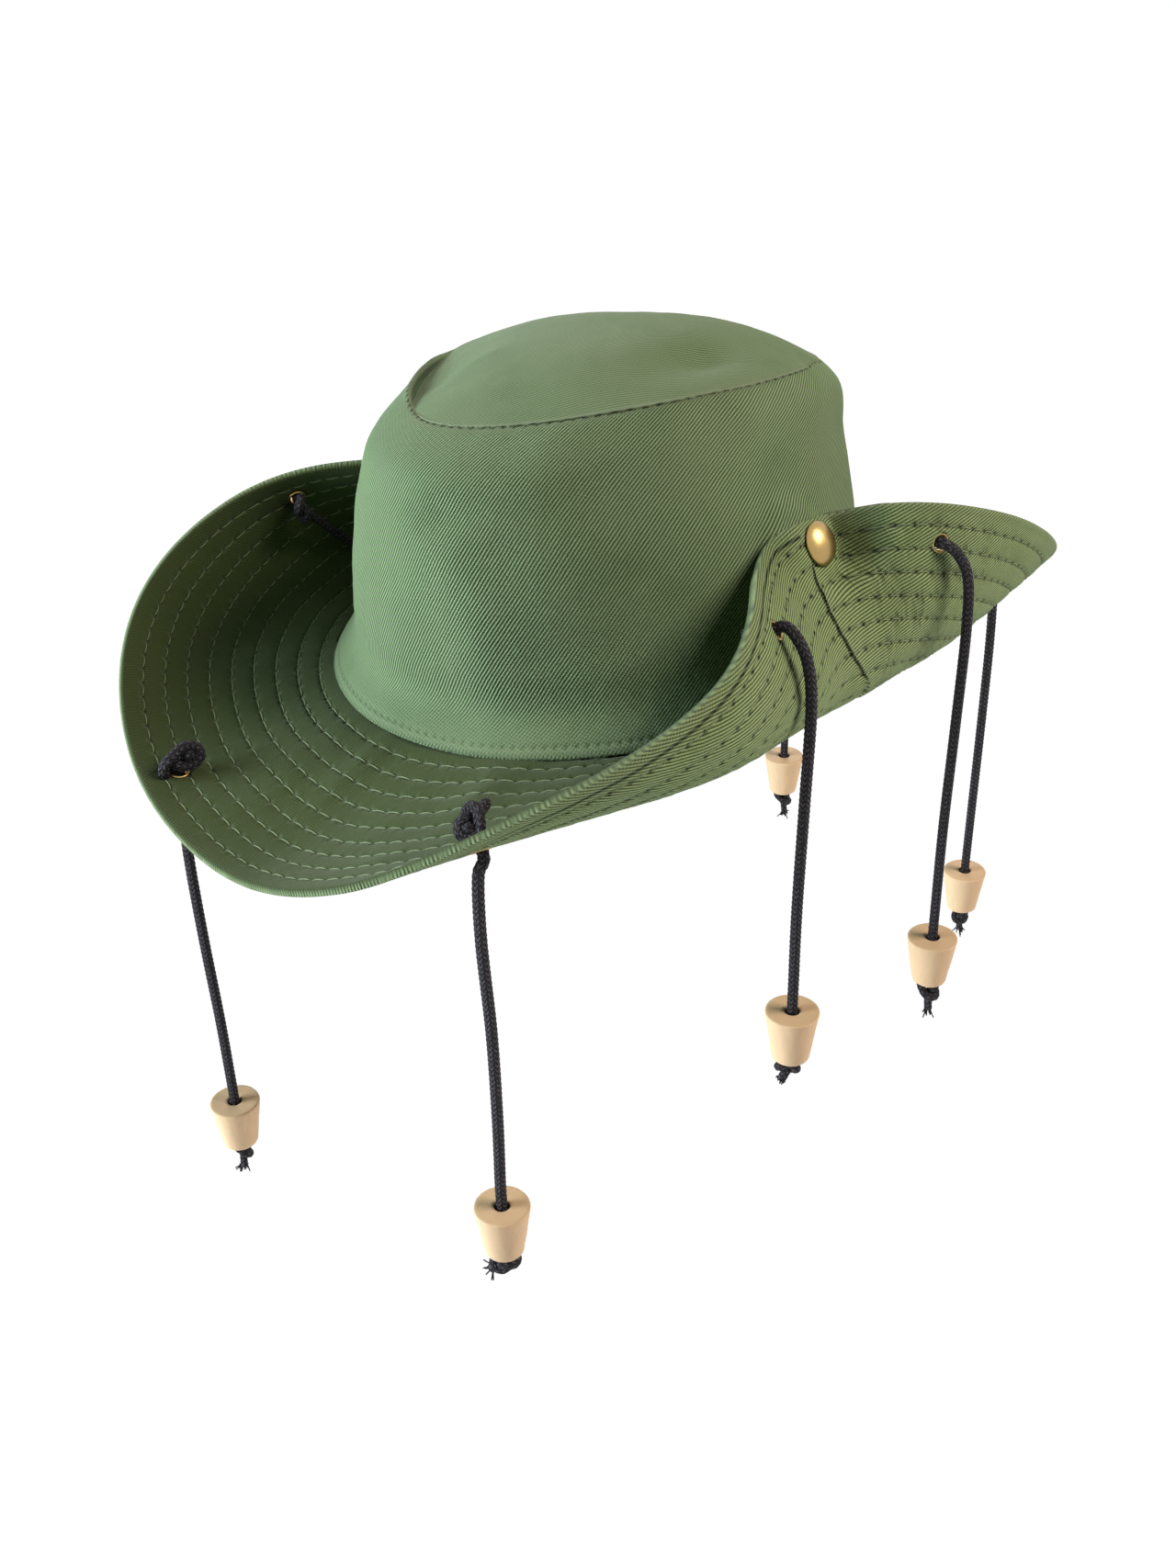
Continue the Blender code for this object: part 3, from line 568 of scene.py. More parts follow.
def mapped_grid(name, points, maps=None, marks=None):
    """A grid primitive laid over an array of points, its edges merged where they meet."""
    rows, columns = points.shape[:2]
    clear_selection()
    bpy.ops.mesh.primitive_grid_add(x_subdivisions=columns - 1, y_subdivisions=rows - 1, size=1.0)
    thing = bpy.context.object
    thing.name = name
    mesh = thing.data
    mesh.name = name
    if len(mesh.vertices) != rows * columns:
        raise RuntimeError("%s: the grid has %d vertices" % (name, len(mesh.vertices)))
    mesh.vertices.foreach_set("co", np.ascontiguousarray(points, dtype=np.float32).ravel())
    corners = np.empty(len(mesh.loops), dtype=np.int32)
    mesh.loops.foreach_get("vertex_index", corners)
    while mesh.uv_layers:
        mesh.uv_layers.remove(mesh.uv_layers[0])
    for map_name, values in (maps or {}).items():
        layer = mesh.uv_layers.new(name=map_name)
        layer.data.foreach_set("uv", values.reshape(-1, 2)[corners].astype(np.float32).ravel())
    for mark_name, values in (marks or {}).items():
        layer = mesh.attributes.new(mark_name, "FLOAT", "POINT")
        layer.data.foreach_set("value", np.ascontiguousarray(values, dtype=np.float32).ravel())
    mesh.update()
    bpy.ops.object.mode_set(mode="EDIT")
    bpy.ops.mesh.select_all(action="SELECT")
    bpy.ops.mesh.remove_doubles(threshold=0.000002)
    bpy.ops.mesh.select_all(action="SELECT")
    bpy.ops.mesh.normals_make_consistent(inside=False)
    bpy.ops.object.mode_set(mode="OBJECT")
    bpy.ops.object.shade_smooth()
    return thing


def finish_piece(thing, material, slot, *nodes):
    """Gives a finished piece its material, body, slot and the solids it stands for."""
    thing.data.materials.clear()
    thing.data.materials.append(material)
    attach(thing, "root")
    if nodes:
        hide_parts(*nodes)
    return thing


def move_mesh(thing, matrix):
    thing.data.transform(matrix)
    thing.data.update()


def aim(direction, turn=0.0):
    """Rotation that turns +Z to a direction, after a turn about Z in degrees."""
    tilt = Vector(direction).to_track_quat("Z", "Y").to_matrix().to_4x4()
    return tilt @ Matrix.Rotation(math.radians(turn), 4, "Z")


def waves(points, scale, seed):
    """Soft noise from -1 to 1 at points, for small unevenness of cloth and cork."""
    shift = Vector((seed * 3.7, seed * 1.3, seed * 2.1))
    flat = points.reshape(-1, 3)
    values = [noise.noise(Vector(point) * scale + shift) for point in flat]
    return np.array(values).reshape(points.shape[:-1])


class NodeMaker:
    """Adds shader nodes to a material, one call each."""

    def __init__(self, name):
        self.material = bpy.data.materials.new(name)
        self.material.use_nodes = True
        self.tree = self.material.node_tree
        self.shader = self.tree.nodes["Principled BSDF"]

    def add(self, kind, settings=None, **inputs):
        node = self.tree.nodes.new(kind)
        for key, value in (settings or {}).items():
            setattr(node, key, value)
        for key, value in inputs.items():
            self.set(node.inputs[key.replace("_", " ")], value)
        return node

    def set(self, socket, value):
        if isinstance(value, bpy.types.NodeSocket):
            self.tree.links.new(value, socket)
        else:
            socket.default_value = value

    def math(self, operation, first, second=0.0, third=0.0, clamp=False):
        node = self.tree.nodes.new("ShaderNodeMath")
        node.operation = operation
        node.use_clamp = clamp
        self.set(node.inputs[0], first)
        self.set(node.inputs[1], second)
        self.set(node.inputs[2], third)
        return node.outputs[0]

    def times(self, *values):
        """Product of any number of values."""
        product = values[0]
        for value in values[1:]:
            product = self.math("MULTIPLY", product, value)
        return product

    def bell(self, value, width):
        """1 where a value is 0, and down to nothing over about twice the width."""
        ratio = self.math("DIVIDE", value, width)
        return self.math("POWER", math.e, self.times(ratio, ratio, -1.0))

    def wave(self, turns, sharpness=1.0):
        """1 at every whole turn and 0 half way between."""
        wave = self.math("MULTIPLY_ADD", self.math("COSINE", self.times(turns, math.tau)), 0.5, 0.5)
        return wave if sharpness == 1.0 else self.math("POWER", wave, sharpness)

    def ramp(self, value, low, high, lowest=0.0, highest=1.0):
        """A value's way from low to high, as a share from lowest to highest."""
        node = self.add("ShaderNodeMapRange", Value=value, From_Min=low, From_Max=high)
        self.set(node.inputs["To Min"], lowest)
        self.set(node.inputs["To Max"], highest)
        return node.outputs["Result"]

    def uv(self, name):
        node = self.tree.nodes.new("ShaderNodeUVMap")
        node.uv_map = name
        parts = self.add("ShaderNodeSeparateXYZ", Vector=node.outputs["UV"])
        return node.outputs["UV"], parts.outputs["X"], parts.outputs["Y"]

    def mark(self, name):
        return self.add("ShaderNodeAttribute", {"attribute_name": name}).outputs["Fac"]

    def noise(self, vector, scale, detail=2.0, roughness=0.5):
        node = self.add("ShaderNodeTexNoise", Vector=vector, Scale=scale, Detail=detail, Roughness=roughness)
        return node.outputs["Fac"]

    def mix(self, share, first, second, blend="MIX"):
        node = self.tree.nodes.new("ShaderNodeMix")
        node.data_type = "RGBA"
        node.blend_type = blend
        self.set(node.inputs[0], share)
        self.set(node.inputs[6], first)
        self.set(node.inputs[7], second)
        return node.outputs[2]

    def bump(self, height, distance, strength=1.0, below=None):
        node = self.add("ShaderNodeBump", Strength=strength, Distance=distance, Height=height)
        if below is not None:
            self.tree.links.new(below, node.inputs["Normal"])
        return node.outputs["Normal"]

    def finish(self, colour, normal, **values):
        self.set(self.shader.inputs["Base Color"], colour)
        if normal is not None:
            self.set(self.shader.inputs["Normal"], normal)
        for key, value in values.items():
            self.set(self.shader.inputs[key.replace("_", " ")], value)
        return self.material


def shade(colour, factor):
    return (colour[0] * factor, colour[1] * factor, colour[2] * factor, 1.0)


def twill_ribs(make, u, v, vector, direction, pitch):
    """Height from 0 to 1 of twill ribs, and of the short floats of yarn along each of them."""
    angle = math.radians(direction)
    across = make.math("SUBTRACT", make.times(v, math.cos(angle)), make.times(u, math.sin(angle)))
    along = make.math("ADD", make.times(u, math.cos(angle)), make.times(v, math.sin(angle)))
    wander = make.times(make.noise(vector, 120.0, 3.0, 0.6), 0.45)
    turns = make.math("MULTIPLY_ADD", across, 1.0 / pitch, wander)
    stagger = make.times(make.math("FLOOR", turns), 0.37)
    floats = make.math("MULTIPLY_ADD", along, 1.0 / (pitch * 0.9), stagger)
    return make.wave(turns), make.wave(floats)


def twill_material(name, colour, pale, direction, pitch, parts):
    """Green twill: ribs, specks, faded patches and pale worn edges; parts adds the sewing of that piece."""
    make = NodeMaker(name)
    vector, u, v = make.uv("cloth")
    wear = make.mark("wear")
    plain = make.mark("plain")
    rib, yarn = twill_ribs(make, u, v, vector, direction, pitch)
    specks = make.noise(vector, 2400.0, 2.0, 0.7)
    patches = make.noise(vector, 30.0, 4.0, 0.6)
    strength = make.math("SUBTRACT", 1.0, plain, clamp=True)
    ribbed = make.math("MULTIPLY_ADD", make.math("SUBTRACT", rib, 0.42), strength, 0.42)
    weave = make.math("ADD", make.times(ribbed, 0.90), make.times(yarn, 0.12))
    weave = make.math("ADD", weave, make.math("MULTIPLY_ADD", specks, 0.50, -0.21))
    ramp = make.add("ShaderNodeValToRGB", Fac=weave)
    ramp.color_ramp.elements[0].position = 0.12
    ramp.color_ramp.elements[0].color = shade(colour, 0.14)
    ramp.color_ramp.elements[1].position = 0.92
    ramp.color_ramp.elements[1].color = shade(colour, 1.95)
    tint = make.mix(make.ramp(patches, 0.42, 0.72, 0.0, 0.30), ramp.outputs["Color"], shade(pale, 0.8))
    tint = make.mix(make.ramp(patches, 0.46, 0.28, 0.0, 0.35), tint, shade(colour, 0.62))
    tint = make.mix(make.times(wear, make.ramp(specks, 0.3, 0.7, 0.5, 1.0)), tint, shade(pale, 1.0))
    height = make.math("MULTIPLY_ADD", yarn, 0.22, make.times(ribbed, 0.78))
    height = make.times(height, make.math("MULTIPLY_ADD", wear, -0.6, 1.0))
    tint, sewing = parts(make, tint, colour, pale)
    normal = make.bump(sewing, 0.0010, 0.9)
    normal = make.bump(height, 0.00036, 0.85, normal)
    return make.finish(
        tint, normal, Roughness=0.88, Specular_IOR_Level=0.22, Sheen_Weight=0.12, Sheen_Roughness=0.5,
        Sheen_Tint=(0.80, 0.90, 0.75, 1.0)
    )


def seamed(make, tint, colour, pale):
    """The crown's sewing: the seam round the tip, the stitched line above the brim and the edge below it."""
    _, along, up = make.uv("seam")
    height = 0.0
    for off, pitch, share in (
        (make.math("SUBTRACT", up, 0.1), SEAM_STITCH, 1.0),
        (make.math("SUBTRACT", 0.0026, up), BASE_STITCH, 0.22),
    ):
        pit = make.times(make.bell(off, 0.00055), make.wave(make.times(along, 1.0 / pitch), 2.0), share)
        ridge = make.times(make.bell(make.math("SUBTRACT", off, 0.0009), 0.00045), share)
        tint = make.mix(make.times(ridge, 0.6), tint, shade(pale, 1.15))
        # Painted shade: dark needle pits along each stitched line.
        tint = make.mix(make.times(pit, 0.9), tint, shade(colour, 0.14))
        height = make.math("ADD", height, make.math("SUBTRACT", make.times(ridge, 0.5), pit))
    tick = make.wave(make.times(along, 1.0 / HEM_TICK), 2.0)
    tick = make.times(tick, make.bell(make.math("SUBTRACT", up, 0.0002), 0.0008))
    tint = make.mix(make.times(tick, 0.7), tint, shade(colour, 0.2))
    tint = make.mix(make.times(make.mark("shadow"), 0.9), tint, shade(colour, 0.06))
    return tint, height


def quilted(make, tint, colour, pale):
    """The brim's sewing: puckered rows, whipped hem, seams and creases of the underside."""
    _, turn, inset = make.uv("rows")
    _, crease, top = make.uv("faces")
    under = make.math("SUBTRACT", 1.0, top)
    row = make.math("DIVIDE", make.math("SUBTRACT", inset, ROW_INSET), ROW_SPACING)
    number = make.math("MINIMUM", make.math("MAXIMUM", make.math("ROUND", row), 0.0), ROW_COUNT - 1.0)
    off = make.times(make.math("SUBTRACT", row, number), ROW_SPACING)
    radius = make.math("MULTIPLY_ADD", number, -ROW_SPACING, CLOTH_EDGE_RADIUS - ROW_INSET)
    shift = make.times(number, ROW_SHIFT)
    phase = make.math("MULTIPLY_ADD", make.times(turn, radius), 1.0 / STITCH_LENGTH, shift)
    flat = make.add("ShaderNodeCombineXYZ", X=make.times(turn, 0.13), Y=make.times(inset, 0.35)).outputs[0]
    streaks = make.noise(flat, 330.0, 3.0, 0.6)
    near = make.bell(off, 0.0021)
    hole = make.times(make.bell(off, 0.00060), make.wave(phase, 6.0))
    # Painted highlights: pale spots beside the stitches on the top face, where the puckers catch the light.
    pucker_highlight = make.times(make.bell(off, 0.0012), make.wave(phase, 5.0), make.ramp(streaks, 0.35, 0.65))
    line = make.bell(off, 0.00040)
    # Painted shade: the top face darker than the underside.
    tint = make.mix(top, tint, TOP_FACE_PAINTED_SHADE, "MULTIPLY")
    tint = make.mix(make.times(pucker_highlight, top, 0.50), tint, shade(pale, 0.62))
    # Painted shade: the cloth darker along the sunk rows and at the needle holes, more on the underside.
    tint = make.mix(make.times(line, make.math("MULTIPLY_ADD", under, 0.16, 0.10)), tint, shade(colour, 0.22))
    tint = make.mix(make.times(hole, make.math("MULTIPLY_ADD", under, 0.50, 0.16)), tint, shade(colour, 0.14))
    height = make.times(near, make.math("SUBTRACT", streaks, 0.5), 1.1)
    height = make.math("SUBTRACT", height, make.math("MULTIPLY_ADD", line, 0.30, hole))

    # Painted shadows: dark diagonal blotches round the rows of the underside, where the puckers shade the
    # cloth.
    pucker_shadow = make.ramp(make.noise(flat, 210.0, 2.0, 0.5), 0.50, 0.68)
    right = make.times(make.ramp(turn, 0.04, 0.12), make.ramp(turn, 0.62, 0.40))
    pucker_shadow = make.times(pucker_shadow, make.bell(off, 0.0028), right, under)
    tint = make.mix(make.times(pucker_shadow, 0.55), tint, shade(colour, 0.30))
    height = make.math("SUBTRACT", height, make.times(pucker_shadow, 0.8))

    tick = make.wave(make.math("MULTIPLY_ADD", turn, CLOTH_EDGE_RADIUS / HEM_TICK, make.times(inset, 420.0)))
    hem = make.ramp(inset, 0.0038, 0.0028)
    tint = make.mix(make.times(hem, tick, 0.16), tint, shade(colour, 0.30))
    height = make.math("SUBTRACT", height, make.times(hem, tick, 0.12))
    front = make.ramp(turn, math.tau - 1.15, math.tau - 0.85)
    # Painted shade in the groove at the inner edge of the hem, on the front of the underside.
    groove = make.times(make.bell(make.math("SUBTRACT", inset, HEM_WIDTH), 0.00045), under, front)
    tint = make.mix(make.times(groove, 0.85), tint, shade(colour, 0.12))
    height = make.math("SUBTRACT", height, groove)

    reach = make.ramp(inset, BRIM_WIDTH * 0.80, BRIM_WIDTH * 0.70)
    # Painted shade in the crease of the underside's seam, and a painted highlight on the raised edge beside
    # it.
    fold = make.times(make.bell(crease, 0.00042), under, reach, make.ramp(inset, 0.010, 0.016))
    lip = make.times(make.bell(make.math("SUBTRACT", crease, 0.0011), 0.0006), under, reach)
    tint = make.mix(make.times(lip, 0.35), tint, shade(pale, 0.9))
    tint = make.mix(make.times(fold, 0.92), tint, shade(colour, 0.08))
    return tint, make.math("SUBTRACT", height, make.times(fold, 1.4))


def braid_material(name, dark, fleck):
    """Black knitted cord: chains of small loops with purplish grey flecks on their crests."""
    make = NodeMaker(name)
    _, around, along = make.uv("braid")
    wale = make.times(around, CORD_WALES)
    side = make.math("ABSOLUTE", make.math("SUBTRACT", make.math("FRACT", wale), 0.5))
    shift = make.times(make.math("FLOOR", wale), 0.31)
    loops = make.math("ADD", make.math("MULTIPLY_ADD", side, 1.5, shift), make.times(along, 1.0 / CORD_LOOP))
    strand = make.wave(loops)
    edge = make.math("SUBTRACT", 1.0, make.bell(make.math("SUBTRACT", side, 0.5), 0.10))
    height = make.times(strand, edge)
    coords = make.add("ShaderNodeTexCoord").outputs["Object"]
    specks = make.noise(coords, 1500.0, 2.0, 0.6)
    # Painted shade: the loops darker down in their valleys and lighter on their crests.
    base = make.mix(height, shade(dark, 0.30), shade(dark, 1.25))
    # Flecks on the crests: partly the yarn's own pale flecks, partly painted highlight.
    flecks = make.times(make.math("POWER", height, 3.0), make.ramp(specks, 0.40, 0.54))
    tint = make.mix(make.times(flecks, 0.85), base, shade(fleck, 1.0))
    normal = make.bump(height, 0.0006, 0.9)
    return make.finish(tint, normal, Roughness=0.66, Specular_IOR_Level=0.28)


def cork_material(name, colour):
    """Pale fine-grained cork wood: faint streaks down the side, small pores, darker ends."""
    make = NodeMaker(name)
    coords = make.add("ShaderNodeTexCoord").outputs["Object"]
    stretched = make.add("ShaderNodeMapping", Vector=coords, Scale=(1.0, 1.0, 0.18)).outputs["Vector"]
    streaks = make.noise(stretched, 420.0, 5.0, 0.6)
    blotches = make.noise(coords, 120.0, 3.0, 0.55)
    pores = make.noise(coords, 1500.0, 2.0, 0.5)
    ramp = make.add("ShaderNodeValToRGB", Fac=streaks)
    ramp.color_ramp.elements[0].position = 0.30
    ramp.color_ramp.elements[0].color = shade(colour, 0.93)
    ramp.color_ramp.elements[1].position = 0.72
    ramp.color_ramp.elements[1].color = shade(colour, 1.06)
    tint = make.mix(make.times(blotches, 0.22), ramp.outputs["Color"], (0.80, 0.62, 0.41, 1.0))
    tint = make.mix(make.ramp(pores, 0.69, 0.76, 0.0, 0.35), tint, shade(colour, 0.50))
    # Painted shade: both flat ends darker than the side.
    tint = make.mix(make.times(make.mark("end"), 0.55), tint, shade(colour, 0.66))
    # Painted shade: the inside of the bore, round the cord, nearly black.
    tint = make.mix(make.times(make.mark("bore"), 0.85), tint, (0.05, 0.025, 0.012, 1.0))
    normal = make.bump(make.math("MULTIPLY_ADD", pores, 0.5, streaks), 0.00016, 0.4)
    return make.finish(tint, normal, Roughness=0.55, Specular_IOR_Level=0.35)


def brass_material(name, colour):
    """Polished brass with soft tarnish and fine scratches."""
    make = NodeMaker(name)
    coords = make.add("ShaderNodeTexCoord").outputs["Object"]
    tarnish = make.noise(coords, 240.0, 4.0, 0.6)
    brushed = make.add("ShaderNodeMapping", Vector=coords, Scale=(1.0, 1.0, 6.0)).outputs["Vector"]
    scratches = make.noise(brushed, 900.0, 2.0, 0.6)
    tint = make.mix(tarnish, shade(colour, 0.88), shade(colour, 1.08))
    normal = make.bump(scratches, 0.00002, 0.25)
    return make.finish(tint, normal, Roughness=make.ramp(tarnish, 0.3, 0.7, 0.27, 0.36), Metallic=1.0)


def thread_material(name, colour):
    """Cotton sewing thread: twisted, matt, a little uneven in colour."""
    make = NodeMaker(name)
    coords = make.add("ShaderNodeTexCoord").outputs["Object"]
    uneven = make.noise(coords, 700.0, 2.0, 0.5)
    tint = make.mix(uneven, shade(colour, 0.75), shade(colour, 1.2))
    return make.finish(tint, make.bump(uneven, 0.0001, 0.5), Roughness=0.8, Specular_IOR_Level=0.3)


def colours():
    return bpy.context.scene.cork_hat_colours


def material(kind):
    """The material of a finish, made on first use."""
    known = bpy.data.materials.get(kind)
    if known is not None:
        return known
    look = colours()
    makers = {
        "crown cloth": lambda: twill_material(kind, look.crown, look.worn, WALL_TWILL, TWILL_PITCH, seamed),
        "tip cloth": lambda: twill_material(kind, look.crown, look.worn, TIP_TWILL, TWILL_PITCH, seamed),
        "brim cloth": lambda: twill_material(kind, look.brim, look.worn, BRIM_TWILL, BRIM_PITCH, quilted),
        "sewing thread": lambda: thread_material(kind, look.thread),
        "braided cord": lambda: braid_material(kind, look.cord, look.fleck),
        "turned cork": lambda: cork_material(kind, look.cork),
        "polished brass": lambda: brass_material(kind, look.brass),
    }
    return makers[kind]()


def seam_cover(angles):
    """1 where the tip's edge is folded flush over the wall, down to 0 where the seam gapes."""
    gape = np.zeros(np.shape(angles))
    for middle, width, share in SEAM_GAPS:
        gape = gape + share * np.exp(-(wrap(angles - middle) / width) ** 4)
    return np.clip(1.0 - gape, 0.0, 1.0)


def seam_run(points):
    """Length along a closed line of points, stretched to hold a whole number of seam stitches."""
    lengths = np.linalg.norm(np.diff(np.concatenate([points, points[:1]]), axis=0), axis=-1)
    total = lengths.sum()
    run = np.concatenate([[0.0], np.cumsum(lengths)])
    return run, run / total * round(total / SEAM_STITCH) * SEAM_STITCH


def unrolled(outer, angles, heights):
    """Places of the wall's points on its cloth laid flat: one arched panel with its seam at the back."""
    low, high = FLAT_FROM_ROW, outer.shape[1] - 4
    closed = np.concatenate([outer, outer[:1]])
    rounds = [np.linalg.norm(np.diff(closed[:, k], axis=0), axis=-1) for k in (low, high)]
    rise = np.linalg.norm(outer[:, high] - outer[:, low], axis=-1).mean()
    spread = (rounds[0].sum() - rounds[1].sum()) / rise
    share = np.concatenate([[0.0], np.cumsum(rounds[0])]) / rounds[0].sum()
    middle = share[int(np.argmin(np.abs(wrap(angles - PANEL_MIDDLE))))]
    turn = spread * (share - middle)[:, None]
    radius = (rounds[0].sum() / spread - (heights - heights[low]))[None, :]
    return np.stack([radius * np.sin(turn), -radius * np.cos(turn)], -1)


def crown_wall_loop(count):
    """The crown wall as a grid: round the hat, and up the outside, over its top edge and down the inside."""
    angles = 90.0 + 360.0 * np.arange(count) / count
    ups = np.concatenate([
        np.linspace(0.0, 0.045, 10)[:-1], np.linspace(0.045, 0.14, 8)[:-1], np.linspace(0.14, 0.90, 44)[:-1],
        np.linspace(0.90, 1.0, 14),
    ])
    grid_angles, levels = np.meshgrid(angles, ups, indexing="ij")
    outer = wall_points(grid_angles, levels)
    normals = surface_normals(outer)
    cover = seam_cover(grid_angles)
    up = levels * WALL_SPAN
    down = (1.0 - levels) * WALL_SPAN
    lift = 0.00018 * np.exp(-((up - 0.0009) / 0.0008) ** 2) - 0.00022 * np.exp(-((up - 0.0026) / 0.0007) ** 2)
    lift += (1.0 - cover) * 0.0005 * np.exp(-((down - 0.0004) / 0.0010) ** 2)
    lift += 0.00030 * waves(outer, 55.0, 3) + 0.00012 * waves(outer, 190.0, 5)
    inner = outer - normals * CROWN_THICKNESS
    outer = outer + normals * lift[..., None]
    outer[..., 2] += (1.0 - cover) * 0.0006 * np.exp(-(down / 0.004) ** 2)
    inner[..., 2] += (1.0 - cover) * 0.0004 * np.exp(-(down / 0.004) ** 2)
    drop = cover * 0.0009 * np.exp(-(down / 0.0012) ** 2) + BASE_DROP * np.exp(-(up / 0.0016) ** 2)
    outer[..., 2] -= drop
    inner[..., 2] -= drop
    stride = list(range(len(ups) - 1, 0, -3)) + [0]
    loop = np.concatenate([outer, inner[:, stride], outer[:, :1]], axis=1)
    loop = np.concatenate([loop, loop[:1]], axis=0)
    _, stitched = seam_run(outer[:, 30])
    heights = np.concatenate([ups * WALL_SPAN, 0.101 + (1.0 - ups[stride]) * WALL_SPAN, [0.202]])
    outside = heights < 0.1005
    cloth = unrolled(outer, angles, heights)
    seam = np.stack(np.meshgrid(stitched, np.where(outside, heights, -1.0), indexing="ij"), -1)
    edge = 0.16 * np.exp(-((heights - 0.0010) / 0.0014) ** 2) + 0.14 * np.exp(-(heights / 0.013) ** 2)
    wear = np.where(outside, np.clip(edge, 0.0, 1.0), 0.0)[None, :] * np.ones((len(loop), 1))
    gape = (1.0 - seam_cover(np.append(angles, angles[0])))[:, None]
    ridge = np.exp(-((heights - WALL_SPAN) / 0.0012) ** 2)[None, :] * gape
    wear = np.clip(wear + 0.5 * ridge, 0.0, 1.0)
    plain = np.where(outside, 0.75 * np.exp(-(heights / 0.011) ** 3), 0.0)
    plain = np.broadcast_to(plain, loop.shape[:2])
    behind = np.where(outside, 0.0, np.exp(-((heights - 0.101) / 0.004) ** 2))
    shadow = behind[None, :] * gape
    return loop, {"cloth": cloth, "seam": seam}, {"wear": wear, "plain": plain, "shadow": shadow}


def crown_tip_shell(count):
    """The tip as a grid: out over the top, down its folded edge and back in below."""
    angles = np.linspace(0.0, 360.0, count + 1)
    ratios = np.concatenate([np.linspace(0.0, 0.9, 46)[:-1], np.linspace(0.9, 1.0, 16)])
    grid_angles, grid_ratios = np.meshgrid(angles, ratios, indexing="ij")
    cover = seam_cover(angles)[:, None]
    top = tip_points(grid_angles, grid_ratios)
    top[..., 2] += (0.00035 * waves(top, 50.0, 8) + 0.00012 * waves(top, 170.0, 9)) * (1.0 - grid_ratios ** 8)
    top[..., 2] -= (1.0 - cover) * 0.0011 * np.exp((grid_ratios - 1.0) / 0.10)
    centre = top[:, :1, :2]
    span = np.linalg.norm(top[:, -1, :2] - centre[:, 0], axis=-1)[:, None]
    grow = 1.0 + cover * (TIP_INSET - 0.0008) / span * grid_ratios ** 6
    top[..., :2] = centre + (top[..., :2] - centre) * grow[..., None]
    out = (top[:, -1, :2] - centre[:, 0]) / span
    turns = np.radians([20.0, 40.0, 60.0, 80.0, 100.0])
    fold = np.broadcast_to(top[:, -1:], (len(angles), len(turns), 3)).copy()
    fold[..., :2] += out[:, None] * (np.sin(turns) * 0.0010)[None, :, None]
    fold[..., 2] -= (1.0 - np.cos(turns))[None, :] * 0.0010
    under = top[:, ::-1].copy()
    under[..., 2] -= CROWN_THICKNESS
    under[..., :2] -= (under[..., :2] - centre) * 0.012
    shell = np.concatenate([top, fold, under], axis=1)
    shell[-1] = shell[0]
    _, stitched = seam_run(shell[:-1, len(ratios) - 1])
    ins = np.concatenate([(ratios - 1.0) * 0.06 - 0.0017, turns / turns[-1] * 0.0017 - 0.0017])
    hidden = np.zeros(len(ratios))
    seam = np.stack(np.meshgrid(stitched, np.concatenate([0.1 - ins, hidden - 1.0]), indexing="ij"), -1)
    wear = np.concatenate([0.25 * np.exp(ins / 0.002), hidden])
    wear = np.broadcast_to(wear, shell.shape[:2])
    plain = np.broadcast_to(np.concatenate([0.60 + 0.0 * ins, hidden]), shell.shape[:2])
    cloth = shell[..., :2].copy()
    shadow = (1.0 - cover) * np.concatenate([0.9 * np.exp(ins / 0.0009), hidden + 1.0])[None, :]
    return shell, {"cloth": cloth, "seam": seam}, {"wear": wear, "plain": plain, "shadow": shadow}


def build_crown():
    wall = mapped_grid("crown_wall_cloth", *crown_wall_loop(480))
    finish_piece(wall, material("crown cloth"), "crown_twill", "crown_wall")
    tip = mapped_grid("crown_tip_cloth", *crown_tip_shell(320))
    finish_piece(tip, material("tip cloth"), "crown_twill", "crown_tip")


def brim_angles(count):
    """Angles of the brim's columns, even along its edge and closer together at the seam on the right."""
    even = 360.0 * np.arange(count) / count
    even = even - np.degrees(0.26 * np.sin(2.0 * np.radians(even)))
    fine = np.concatenate([np.arange(0.0, 13.0, 0.4), np.arange(353.0, 360.0, 0.4)])
    away = np.min(np.abs(wrap(even[:, None] - fine[None, :])), axis=1)
    return np.sort(np.concatenate([even[away > 0.4], fine]))


def brim_insets():
    """Distances in from the brim's edge where its face has points, close together at the stitching."""
    insets = [0.0006, 0.0014, 0.0026, 0.0038, 0.0045, 0.0052]
    for row in range(ROW_COUNT):
        middle = ROW_INSET + ROW_SPACING * row
        insets += [middle + off for off in (-0.0011, -0.0005, 0.0, 0.0005, 0.0011, 0.0023, 0.0036, 0.0049)]
    insets += [BRIM_WIDTH - 0.0003, BRIM_WIDTH + BRIM_MARGIN]
    return np.array(sorted(inset for inset in insets if inset <= BRIM_WIDTH + BRIM_MARGIN))


def cloth_turns(points):
    """Turn of each column of the brim in its flat ring, in radians, from its lengths round the hat."""
    closed = np.concatenate([points, points[:1]], axis=0)
    lengths = np.linalg.norm(np.diff(closed, axis=0), axis=-1)
    shares = np.cumsum(lengths / lengths.sum(axis=0), axis=0).mean(axis=1)
    return math.tau * np.concatenate([[0.0], shares])


def crease_offset(angles, insets):
    """Distance of each point of the brim from the seam across its right side, in metres."""
    reaches = 1.0 - insets / BRIM_WIDTH
    line = read_table(CREASE_COLUMNS, CREASE_LINE, "angle", np.clip(reaches, 0.10, 0.80), False)
    per_degree = math.radians(1.0) * (HEAD_HALF_WIDTH + 0.7 * BRIM_WIDTH * reaches)
    return wrap(angles[:, None] - line[None, :]) * per_degree[None, :]


